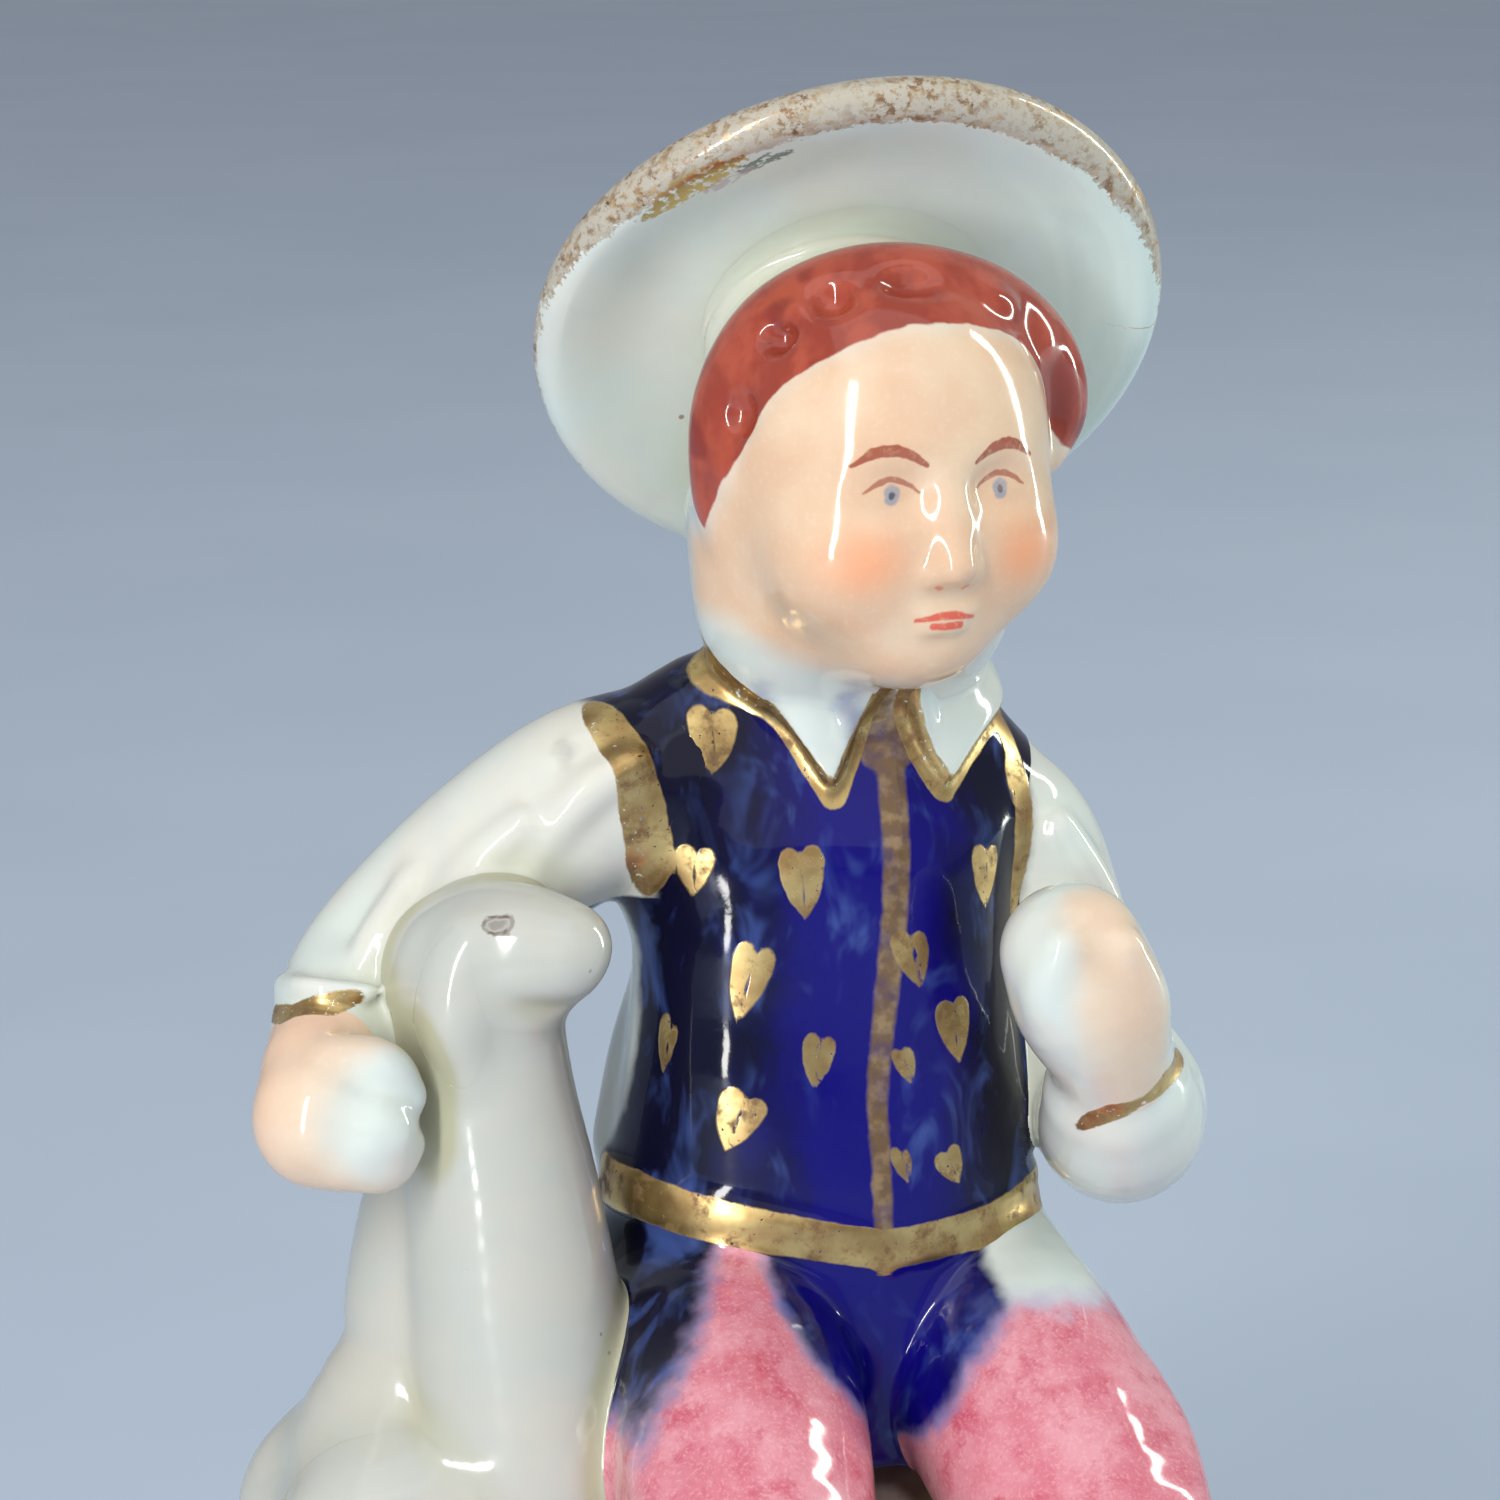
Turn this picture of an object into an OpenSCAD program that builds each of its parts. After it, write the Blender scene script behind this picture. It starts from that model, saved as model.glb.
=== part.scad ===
// Glazed porcelain figurine: a seated boy in a wide hat with his arm round a sitting dog.
// Cast pieces that are luted together with slip: each is its own solid, and each one
// is cut back where the piece before it passes, so that neighbours meet face to face.
// Millimetres, +Z up, the boy faces -Y, origin in the middle of the foot ring.

/* [Base] */
// Width of the plinth
base_w = 60; // [58:1:64]
// Depth of the plinth
base_d = 44; // [43:1:48]
// Height of the plinth's upright edge
plinth_h = 5; // [4:0.5:6]
// Height of the rock seat
seat_z = 40; // [39:0.5:41]
// Height of the ledge that the dog sits on
ledge_z = 27; // [26.5:0.5:27.5]
// Height of the rock step under the shoes
step_z = 9.5; // [9:0.5:10]
// Radius of the firing vent in the floor
vent_r = 2.5; // [1.5:0.5:4]

/* [Boy] */
// Height of the waist
waist_z = 52; // [51.5:0.5:52.5]
// Half width of the vest at the hem
waist_r = 11.4; // [11:0.1:11.8]
// Height of the middle of the head
head_z = 89.5; // [89:0.5:90]
// Half width of the head with its hair
head_r = 9.6; // [9.2:0.1:10]
// Radius of the hat's brim
brim_r = 16; // [15.5:0.1:16.4]
// Angle by which the hat leans back from upright
brim_tilt = 54; // [51:1:57]

/* [Casting] */
// Thickness of the cast walls
wall = 2.4; // [2:0.1:3]
// Facets round each rounded form
form_fn = 16; // [12:2:18]

/* [Hidden] */
eps = 0.01;
big = 200;

body_at = [2, 6];              // the torso's axis in plan
head_at = [3.5, 1, head_z];    // the middle of the head
hat_at = [4.6, 10.7, head_z + 8.1];
hat_turn = 6;                  // the hat turns this far from straight ahead
crown_r = 7.6;
neck_z = head_z - 11.5;        // where the head's neck stub meets the torso
floor_t = 2.2;
foot_ring = 0.8;               // the floor stands this far above the foot ring
knee_r = [-7.4, -13.5, 35.5];
knee_l = [11.5, -12.5, 34.5];
ankle_r = [-7.6, -12.8, 13.6];
ankle_l = [12.4, -11.8, 13.6];

glaze = [0.86, 0.87, 0.84];
cobalt = [0.05, 0.06, 0.38];
pink = [0.80, 0.45, 0.52];
skin = [0.90, 0.76, 0.66];
gilt = [0.62, 0.48, 0.25];
moss = [0.38, 0.48, 0.28];
rock = [0.62, 0.52, 0.42];

// One rounded form: [x, y, z, r] or [x, y, z, [rx, ry, rz]]
module ball(s, grow = 0) {
  r = is_list(s[3]) ? s[3] : [s[3], s[3], s[3]];
  translate([s[0], s[1], s[2]])
    scale([for (v = r) max(v + grow, 0.3)])
      sphere(r = 1, $fn = form_fn);
}

// Rounded forms run together, each one with the next
module chain(stations, grow = 0) {
  for (i = [0 : len(stations) - 2])
    hull() {
      ball(stations[i], grow);
      ball(stations[i + 1], grow);
    }
}

module above(z) translate([-big / 2, -big / 2, z]) cube(big);
module below(z) translate([-big / 2, -big / 2, z - big]) cube(big);

// Turns a shape whose crown points along +Z to the hat's lean
module hat_pose() {
  translate(hat_at) rotate([0, 0, -hat_turn]) rotate([-brim_tilt, 0, 0]) children();
}

// ---- outer forms ----

module footprint(inset = 0) scale([base_w / 2 - inset, base_d / 2 - inset]) circle(r = 1, $fn = 64);

module rock_form() {
  intersection() {
    union() {
      chain([[-20, 10, 21, [8.5, 9, 12.5]], [-11, 10.5, 24, [9, 8.5, 12]], [2, 8, seat_z - 13, [12, 10, 13]],
        [12, 8.5, 22, [10, 10, 12]], [20.5, 7, 15, [8.5, 10, 11.5]]]);
      chain([[-19, 0, ledge_z - 10, [9.5, 9, 9.6]], [-10, -0.5, 14, [9, 8.4, 9.5]], [3, -0.5, 17, [9, 8, 11]],
        [15, -1, 14, [10.5, 9, 10.5]]]);
      chain([[-21, -4, 5, [8, 11, 8]], [-9, -10.5, 4.4, [10, 9, step_z - 4.4]],
        [12, -10.5, 4.4, [11, 9, step_z - 4.4]], [21.5, -2, 6, [8, 11, 8]]]);
      chain([[-18, 9, 6, [10, 10, 10]], [0, 12, 9, [13, 9, 14]], [18, 8, 6, [10, 11, 10]]]);
      hull() {
        ball([-20, 5, ledge_z - 4, [7.5, 8, 4]]);
        ball([-13, 4, ledge_z - 4, [5.5, 8, 4]]);
      }
      linear_extrude(plinth_h) footprint();
    }
    linear_extrude(big) footprint();
  }
}

module rock_cavity() {
  chain([[-18.5, 6.5, 11, [7, 7.5, 11]], [1, 7, 16, [10, 8.5, 17]], [16, 5.5, 10, [8.5, 8.5, 11]]]);
  translate([0, 0, -eps]) linear_extrude(foot_ring + floor_t + eps) footprint(wall + 0.6);
}

torso_line = [
  [body_at[0], 6, waist_z + 1, [waist_r, 8.3, 1.5]], [2.1, 5.9, waist_z + 5, [10.7, 7.9, 2]],
  [2.2, 5.8, waist_z + 9, [10.1, 7.5, 2]], [2.3, 5.7, waist_z + 13, [10, 7.3, 2]],
  [2.4, 5.6, waist_z + 17, [10.3, 7, 2]], [2.6, 5.8, waist_z + 20, [10.2, 6.3, 2]],
  [2.8, 5.9, waist_z + 22.5, [8.6, 5.2, 2]], [3, 5.4, waist_z + 25, [5.6, 4.6, 2]],
  [3.1, 4.8, waist_z + 27, [4.8, 4.4, 2]]];

module torso_form(grow = 0) {
  intersection() {
    chain(torso_line, grow);
    above(waist_z);
    below(neck_z);
  }
  chain([[-2.4, 6, 76.8, [3.6, 4.8, 3.6]], [-5.4, 6.2, 75.2, [4.2, 4.8, 4]], [-5.4, 6, 71, [4.2, 5, 3.6]]]);
}

module skirt_form(grow = 0) difference() {
  chain([[2, 6.2, waist_z - 0.5, [waist_r - 0.3, 8.2, 1.2]], [2.2, 6.3, waist_z - 4, [12, 8.6, 2]],
    [2.4, 6.2, waist_z - 8, [11.8, 8.4, 2.5]], [2.6, 6.2, seat_z - 0.5, [10.4, 7.4, 2.5]]], grow);
  above(waist_z);
}

module collar_form(side_pts) {
  for (i = [0 : len(side_pts) - 3])
    hull() for (k = [0 : 2]) ball(side_pts[i + k]);
}
collar_r_pts = [[-1.8, 9, 81.6, 1.1], [-4.2, 6.4, 80, 1.1], [-0.6, 2.6, 80.6, 1.1], [-4, 2, 76.6, 1.1],
  [2.2, -0.4, 78.4, 1.1], [-0.2, -1.2, 73.8, 0.9]];
collar_l_pts = [[8.4, 9, 81, 1.1], [10.8, 6.4, 78.8, 1.1], [7.4, 2.6, 80, 1.1], [10, 1.8, 75.8, 1.1],
  [4, -0.6, 78.2, 1.1], [7.2, -1.2, 73.6, 0.9]];

module head_form() {
  chain([[3.3, 0.8, head_z + 1.2, [head_r - 1.4, 8.8, 8.4]], [3.1, -0.3, head_z - 3.2, [7.2, 7.7, 6.2]],
    [3.1, -0.8, head_z - 5.6, [5, 6, 4.6]], [3.1, 4.6, head_z - 9, [4.8, 4.6, 2.4]],
    [3.1, 4.8, neck_z + 0.5, [4.8, 4.4, 1]]]);
  ball([3.4, -8.7, head_z - 1.6, [1, 1.2, 1.5]]);
  hull() {
    ball([3.8, 3.6, head_z + 1.4, [head_r - 1.4, 7, 8]]);
    ball([4.2, 7.4, head_z + 4.4, [6.6, 5.4, 6]]);
  }
  ball([1, 7, head_z - 6.4, [5.4, 4.4, 5.4]]);
  chain([for (a = [-20 : 25 : 205])
    [head_at[0] + 0.6 + 7.5 * cos(a), 0.6 + 1.6 * sin(a) * sin(a), head_z + 1.6 + 7.8 * sin(a), 2.1]]);
}

module brim_form() hat_pose()
  rotate_extrude($fn = 40) polygon([[crown_r, 0.4], [11, -1.6], [brim_r - 1.8, -4], [brim_r - 0.8, -4.1],
    [brim_r, -3.3], [brim_r - 0.4, -2.3], [11.6, 0.4], [9, 2.4], [crown_r, 3.2]]);

module crown_form() hat_pose()
  rotate_extrude($fn = 40) polygon([[0, 0.4], [crown_r, 0.4], [crown_r, 3.6], [6.6, 4.9], [4.8, 6.2],
    [2.6, 7], [0, 7.2]]);

module right_sleeve_form() chain([[-5.8, 6.2, 74, 4.5], [-9.8, 6.6, 72.8, 4.8], [-13.9, 7.4, 70.1, 4.7],
  [-18, 8.4, 66.7, 4.3], [-20.9, 8, 64.3, 3.9], [-22.7, 6, 63, 3.5], [-23.8, 4, 61.8, 3.2]]);
module left_sleeve_form() chain([[10.8, 6.2, 71.6, 3.7], [13, 5.8, 69, 3.9], [14.6, 5, 64.5, 3.7],
  [15.8, 3.6, 59.5, 3.9], [16.4, 1.2, 55.8, 4.3], [15.2, -2.6, 56.6, 4.2], [14, -4.8, 58.6, 3.6]]);
module right_hand_form() chain([[-24, 3.6, 61.8, 2.6], [-25.2, 1.4, 60.8, 3.1], [-25.6, -0.6, 59.6, 3.5],
  [-23.6, -1.8, 58.6, 3], [-20.8, -2.2, 60, 1.8]]);
module left_hand_form() chain([[14, -5, 59, 2.9], [12.8, -6.6, 61.6, 3.2], [11.4, -7.4, 64.6, 3.9],
  [10.6, -7.4, 66.4, 3.6], [9.6, -7, 67.6, 2.6]]);

// A station written as [[x, y, z], r] is flattened to the ball's own form
function flat(s) = len(s) == 2 ? concat(s[0], [s[1]]) : s;

module thigh_form(hip, knee) chain([
  [hip[0], hip[1], hip[2], [6.2, 6.4, 5.6]],
  flat([hip * 0.66 + knee * 0.34 + [0, 0, 0.6], 6.5]),
  flat([hip * 0.33 + knee * 0.67 + [0, 0, 0.8], 6.3]),
  flat([knee, 5.7]),
  flat([knee + [0, 0.4, -5], 5.2])]);
hip_r = [-4.2, 3.2, 46.2];
hip_l = [9.4, 3.4, 45.6];

module calf_form(knee, ankle) chain([
  flat([knee + [0, 0.4, -4], 3.4]), flat([knee * 0.62 + ankle * 0.38 + [0, 1, 0], 3.7]),
  flat([knee * 0.3 + ankle * 0.7 + [0, 0.6, 0], 2.9]), flat([ankle, 2.5]), flat([ankle + [0, -0.4, -2], 2.6])]);

module shoe_form(ankle, out) difference() {
  chain([[ankle[0], ankle[1] + 0.8, ankle[2] - 2.4, [2.9, 3, 2.3]],
    [ankle[0] + out * 0.4, ankle[1] - 2.2, ankle[2] - 2.8, [3, 3, 2.2]],
    [ankle[0] + out, ankle[1] - 5, ankle[2] - 3.2, [3.1, 3, 1.8]]]);
  below(plinth_h);
}

module dog_body_form() {
  chain([[-16, 2, ledge_z + 37, [4.1, 4, 3]], [-15.6, 2.4, ledge_z + 32, [4.4, 4.3, 4]],
    [-15.4, 2.6, ledge_z + 26, [4.7, 4.6, 4]], [-15, 2.6, ledge_z + 19, [5, 5, 4.6]],
    [-14.7, 2.6, ledge_z + 12, [5.2, 5.2, 4.6]]]);
  chain([[-16.6, 3.4, ledge_z + 28, [4.3, 4.6, 4]], [-18.2, 4.2, ledge_z + 20, [5, 5.4, 4.6]],
    [-20, 4.6, ledge_z + 13, [5.6, 6, 5]], [-21, 4.8, ledge_z + 5, [5.6, 6.6, 6.4]]]);
}
module dog_head_form() chain([[-17, 1.8, ledge_z + 39.2, [4, 4.1, 3.9]], [-15.6, 1, ledge_z + 39.2, [4.2, 4, 3.9]],
  [-14.4, -0.4, ledge_z + 38.6, [3.5, 3.4, 3.1]], [-13, -1.4, ledge_z + 38.4, [2.5, 2.5, 2.3]]]);
module dog_ear_form(s) chain([[-16.6 - s * 1.4, 1.8 - s * 3.2, ledge_z + 41, [1.6, 1.2, 1.6]],
  [-17 - s * 2.6, 1.4 - s * 3.6, ledge_z + 38, [1.9, 1.2, 2.4]],
  [-16.8 - s * 2.6, 1.2 - s * 3.6, ledge_z + 34.6, [1.5, 1.1, 1.8]]]);
module foreleg_form(s) chain([[-13, 2.4 - s * 2.6, ledge_z + 12, [2.9, 2.6, 3]],
  [-12, 2.4 - s * 3, ledge_z + 6, [2.2, 2.2, 3]], [-11.8, 2.4 - s * 3, ledge_z + 1.2, [2, 2, 1.8]],
  [-10.2, 2.4 - s * 3.2, ledge_z + 0.2, [2.2, 2.1, 1.6]]]);
module haunch_form(s) chain([[-21.4, 4.6 - s * 4.2, ledge_z + 8, [5.4, 4, 6]],
  [-20, 4.6 - s * 5.4, ledge_z + 4, [5, 3.2, 4.6]], [-16.4, 4.6 - s * 5.8, ledge_z, [3, 2.4, 2]]]);
module tail_form() chain([[-25, 8.8, ledge_z + 3, 1.8], [-24.6, 12, ledge_z + 2.6, 1.7],
  [-21.4, 14, ledge_z + 3.6, 1.6], [-17.6, 14.4, ledge_z + 5.2, 1.4]]);

// ---- pieces ----

module rock_base() color(rock) difference() {
  rock_form();
  rock_cavity();
  translate([body_at[0], 8, 20]) cylinder(r = vent_r, h = 30, $fn = 24);
}

module floor_plate() color(glaze) difference() {
  translate([0, 0, foot_ring]) linear_extrude(floor_t)
    footprint(wall + 0.6);
  translate([0, 0, -1]) cylinder(r = vent_r, h = 10, $fn = 32);
}

module rock_knob() color(gilt) difference() {
  chain([[21.4, 9, 20, [5, 5, 5]], [23.4, 9.6, 25, [3.6, 3.8, 3]], [24.2, 10, 27.8, [2.4, 2.4, 2.6]]]);
  rock_form();
}

module moss_tufts() color(moss) difference() {
  for (p = [[-24.4, 12.4, 31], [-7, 18.4, 27], [10, 17.4, 25], [24.6, -5, 11], [-24, -10, 10]])
    for (a = [0 : 120 : 240])
      translate([p[0] + 1.5 * cos(a), p[1] + 0.9 * sin(a), p[2] + 0.4 * sin(a)]) sphere(r = 2, $fn = 12);
  rock_form();
  dog_body_form();
  tail_form();
  linear_extrude(big) difference() {
    square(big, center = true);
    footprint();
  }
}

module torso() color(cobalt) difference() {
  torso_form();
  intersection() {
    chain(torso_line, -wall);
    above(waist_z - eps);
    below(neck_z - wall);
  }
  translate([3.1, 4.8, neck_z - 8]) cylinder(r = 1.6, h = 20, $fn = 24);
  collar_form(collar_r_pts);
  collar_form(collar_l_pts);
}

module coat_skirt() color(cobalt) difference() {
  skirt_form();
  translate([2.2, 6.3, waist_z - 5]) scale([8, 5.4, 6]) sphere(r = 1, $fn = 20);
  rock_form();
  translate([body_at[0], 8, 20]) cylinder(r = vent_r, h = 30, $fn = 24);
}

module collar_right() color(glaze) collar_form(collar_r_pts);
module collar_left() color(glaze) difference() {
  collar_form(collar_l_pts);
  collar_form(collar_r_pts);
}

module head() color(skin) difference() {
  head_form();
  ball([3.4, 0.8, head_z, [6, 5.8, 6.6]]);
  translate([3.1, 4.8, neck_z - 5]) cylinder(r = 1.6, h = 14, $fn = 24);
  collar_form(collar_r_pts);
  collar_form(collar_l_pts);
  torso_form();
  below(neck_z);
}

module hat_brim() color(glaze) difference() {
  brim_form();
  head_form();
  collar_form(collar_r_pts);
  collar_form(collar_l_pts);
  torso_form();
}

module hat_crown() color(glaze) difference() {
  crown_form();
  head_form();
}

module right_sleeve() color(glaze) difference() {
  right_sleeve_form();
  torso_form();
  dog_head_form();
  dog_body_form();
}

module left_sleeve() color(glaze) difference() {
  left_sleeve_form();
  torso_form();
}

module right_hand() color(skin) difference() {
  right_hand_form();
  right_sleeve_form();
  dog_body_form();
  dog_head_form();
  for (s = [-1, 1]) dog_ear_form(s);
}

module left_hand() color(skin) difference() {
  left_hand_form();
  left_sleeve_form();
  torso_form();
}

module right_breeches() color(pink) difference() {
  thigh_form(hip_r, knee_r);
  torso_form();
  skirt_form();
  rock_form();
  dog_body_form();
}

module left_breeches() color(pink) difference() {
  thigh_form(hip_l, knee_l);
  torso_form();
  skirt_form();
  rock_form();
  thigh_form(hip_r, knee_r);
}

module right_calf() color(glaze) difference() {
  calf_form(knee_r, ankle_r);
  thigh_form(hip_r, knee_r);
  rock_form();
  shoe_form(ankle_r, -1);
}

module left_calf() color(glaze) difference() {
  calf_form(knee_l, ankle_l);
  thigh_form(hip_l, knee_l);
  rock_form();
  shoe_form(ankle_l, 1);
}

module right_shoe() color([0.12, 0.12, 0.14]) difference() {
  shoe_form(ankle_r, -1);
  rock_form();
}

module left_shoe() color([0.12, 0.12, 0.14]) difference() {
  shoe_form(ankle_l, 1);
  rock_form();
}

module dog_body() color(glaze) difference() {
  dog_body_form();
  rock_form();
  dog_head_form();
}

module dog_head() color(glaze) dog_head_form();

module dog_ear(s) color(glaze) difference() {
  dog_ear_form(s);
  dog_head_form();
  dog_body_form();
  right_sleeve_form();
}

module dog_foreleg(s) color(glaze) difference() {
  foreleg_form(s);
  dog_body_form();
  rock_form();
  thigh_form(hip_r, knee_r);
}

module dog_haunch(s) color(glaze) difference() {
  haunch_form(s);
  dog_body_form();
  foreleg_form(s);
  rock_form();
  thigh_form(hip_r, knee_r);
}

module dog_tail() color(glaze) difference() {
  tail_form();
  dog_body_form();
  haunch_form(-1);
  rock_form();
}

rock_base();
floor_plate();
rock_knob();
moss_tufts();
torso();
coat_skirt();
collar_right();
collar_left();
head();
hat_brim();
hat_crown();
right_sleeve();
right_hand();
left_sleeve();
left_hand();
right_breeches();
left_breeches();
right_calf();
left_calf();
right_shoe();
left_shoe();
dog_body();
dog_head();
dog_ear(1);  // dog_right_ear
dog_ear(-1);  // dog_left_ear
dog_foreleg(1);  // dog_right_foreleg
dog_foreleg(-1);  // dog_left_foreleg
dog_haunch(1);  // dog_right_haunch
dog_haunch(-1);  // dog_left_haunch
dog_tail();
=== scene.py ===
"""Glazed porcelain figurine: a seated boy in a wide hat with his arm round a sitting dog.

Each piece is sculpted as a distance in millimetres, run together with its neighbours the
way slip and glaze fill a seam, and then cut out as its own closed mesh. The painter's
marks are distances too, kept at the points of the mesh and turned into paint, gilding and
bleeding cobalt by the materials.
"""
import math

import bpy
import numpy as np
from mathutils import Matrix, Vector


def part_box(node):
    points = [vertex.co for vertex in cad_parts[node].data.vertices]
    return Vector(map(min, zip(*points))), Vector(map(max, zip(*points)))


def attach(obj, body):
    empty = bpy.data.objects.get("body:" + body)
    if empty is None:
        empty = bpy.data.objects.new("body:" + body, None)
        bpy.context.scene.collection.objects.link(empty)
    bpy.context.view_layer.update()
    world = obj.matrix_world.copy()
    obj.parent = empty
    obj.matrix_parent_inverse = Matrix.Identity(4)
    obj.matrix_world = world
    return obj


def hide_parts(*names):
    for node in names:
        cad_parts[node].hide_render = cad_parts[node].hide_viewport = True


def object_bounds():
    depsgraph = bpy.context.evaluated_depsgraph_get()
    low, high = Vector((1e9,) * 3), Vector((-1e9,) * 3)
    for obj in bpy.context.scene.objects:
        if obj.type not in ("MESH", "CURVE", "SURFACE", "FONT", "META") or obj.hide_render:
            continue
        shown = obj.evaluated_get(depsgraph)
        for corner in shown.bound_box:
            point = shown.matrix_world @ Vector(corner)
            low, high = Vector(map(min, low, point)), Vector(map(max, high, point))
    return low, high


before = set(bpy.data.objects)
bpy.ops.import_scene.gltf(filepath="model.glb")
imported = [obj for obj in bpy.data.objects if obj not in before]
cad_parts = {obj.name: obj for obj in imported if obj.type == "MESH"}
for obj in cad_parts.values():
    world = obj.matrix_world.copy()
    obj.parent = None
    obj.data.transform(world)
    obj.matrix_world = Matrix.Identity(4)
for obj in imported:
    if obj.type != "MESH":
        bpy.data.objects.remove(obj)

CAD_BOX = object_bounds()
MM = 0.001
FAR = 40.0            # distance given to places out of a form's reach
REACH = 3.5           # how far from its skin a form is worked out
SPREAD = 0.06         # how far the glaze levels the surface, in square millimetres
FINE, PLAIN, COARSE = 0.2, 0.25, 0.4


# ---------------------------------------------------------------- sculpting tools

def smin(a, b, k):
    """The nearer of two distances, with a fillet about k wide between them."""
    h = np.maximum(k - np.abs(a - b), 0.0)
    return np.minimum(a, b) - h * h / (4.0 * k)


def smax(a, b, k):
    return -smin(-a, -b, k)


class Grid:
    """A block of lattice nodes. All grids of one step share their nodes."""

    def __init__(self, first, count, step):
        self.first, self.count, self.step = first, count, step

    @staticmethod
    def round(lo, hi, step):
        first = np.floor(np.asarray(lo) / step).astype(int)
        return Grid(first, np.ceil(np.asarray(hi) / step).astype(int) - first + 1, step)

    def part(self, lo, hi):
        """The slices and the grid of the nodes between two corners, or None."""
        a = np.maximum(np.floor(np.asarray(lo) / self.step).astype(int) - self.first, 0)
        b = np.minimum(np.ceil(np.asarray(hi) / self.step).astype(int) + 1 - self.first, self.count)
        if (b - a < 1).any():
            return None
        return tuple(slice(*ends) for ends in zip(a, b)), Grid(self.first + a, b - a, self.step)

    def axes(self):
        lines = [((self.first[i] + np.arange(self.count[i])) * self.step).astype(np.float32) for i in range(3)]
        return lines[0][:, None, None], lines[1][None, :, None], lines[2][None, None, :]

    def filled(self):
        return np.full(self.count, FAR, np.float32)


class Solid:
    """A rounded form: cells are (lowest corner, highest corner, distance function)."""

    def __init__(self, cells, k, cut=False):
        self.cells, self.k, self.cut = cells, k, cut
        self.lo = np.min([c[0] for c in cells], axis=0)
        self.hi = np.max([c[1] for c in cells], axis=0)

    def onto(self, total, grid):
        found = grid.part(self.lo - REACH, self.hi + REACH)
        if found is None:
            return
        block, sub = found
        near = sub.filled()
        for lo, hi, dist in self.cells:
            cell = sub.part(lo - REACH, hi + REACH)
            if cell is not None:
                near[cell[0]] = np.minimum(near[cell[0]], dist(*cell[1].axes()))
        if self.cut:
            total[block] = smax(total[block], -near, self.k)
        else:
            total[block] = smin(total[block], near, self.k)


def round_off(x, y, z, r):
    """Distance to an ellipsoid, close to true near its skin."""
    k0 = np.sqrt((x / r[0]) ** 2 + (y / r[1]) ** 2 + (z / r[2]) ** 2 + 1e-8)
    k1 = np.sqrt((x / r[0] ** 2) ** 2 + (y / r[1] ** 2) ** 2 + (z / r[2] ** 2) ** 2 + 1e-8)
    return k0 * (k0 - 1.0) / k1


def ball(centre, radii, k=1.0, cut=False, turn=(0, 0, 0)):
    """An ellipsoid, turned by degrees about x, y and z."""
    c = np.asarray(centre, float)
    r = np.broadcast_to(np.asarray(radii, float), 3)
    if any(turn):
        a, b, g = (math.radians(t) for t in turn)
        rx = np.array([[1, 0, 0], [0, math.cos(a), -math.sin(a)], [0, math.sin(a), math.cos(a)]])
        ry = np.array([[math.cos(b), 0, math.sin(b)], [0, 1, 0], [-math.sin(b), 0, math.cos(b)]])
        rz = np.array([[math.cos(g), -math.sin(g), 0], [math.sin(g), math.cos(g), 0], [0, 0, 1]])
        m = rz @ ry @ rx
        size = np.sqrt((m ** 2) @ (r ** 2))
    else:
        m = np.eye(3)
        size = r

    def dist(x, y, z):
        x, y, z = x - c[0], y - c[1], z - c[2]
        if any(turn):
            x, y, z = (m[0, i] * x + m[1, i] * y + m[2, i] * z for i in range(3))
        return round_off(x, y, z, r)
    return Solid([(c - size, c + size, dist)], k, cut)


def spline(points, steps):
    """A smooth line through rows of numbers, steps rows for each span."""
    p = np.asarray(points, float)
    p = np.vstack([2 * p[0] - p[1], p, 2 * p[-1] - p[-2]])
    out = []
    for i in range(1, len(p) - 2):
        t = np.linspace(0, 1, steps, endpoint=False)[:, None]
        a, b, c, d = p[i - 1], p[i], p[i + 1], p[i + 2]
        out.append(0.5 * (2 * b + (c - a) * t + (2 * a - 5 * b + 4 * c - d) * t ** 2
                          + (3 * b - a - 3 * c + d) * t ** 3))
    return np.vstack(out + [p[-2:-1]])


def limb(a, b):
    """Distance to a straight length between two balls (x, y, z, r)."""
    run = b[:3] - a[:3]
    length2 = max(float(run @ run), 1e-6)

    def dist(x, y, z):
        x, y, z = x - a[0], y - a[1], z - a[2]
        t = np.clip((x * run[0] + y * run[1] + z * run[2]) / length2, 0, 1)
        d = np.sqrt((x - t * run[0]) ** 2 + (y - t * run[1]) ** 2 + (z - t * run[2]) ** 2)
        return d - (a[3] + t * (b[3] - a[3]))
    return dist


def tube(points, k=1.0, steps=4, cut=False):
    """A bent limb through balls (x, y, z, r)."""
    line = spline(points, steps)
    line[:, 3] = np.maximum(line[:, 3], 0.05)
    cells = []
    for a, b in zip(line[:-1], line[1:]):
        lo = np.minimum(a[:3] - a[3], b[:3] - b[3])
        hi = np.maximum(a[:3] + a[3], b[:3] + b[3])
        cells.append((lo, hi, limb(a, b)))
    return Solid(cells, k, cut)


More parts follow.
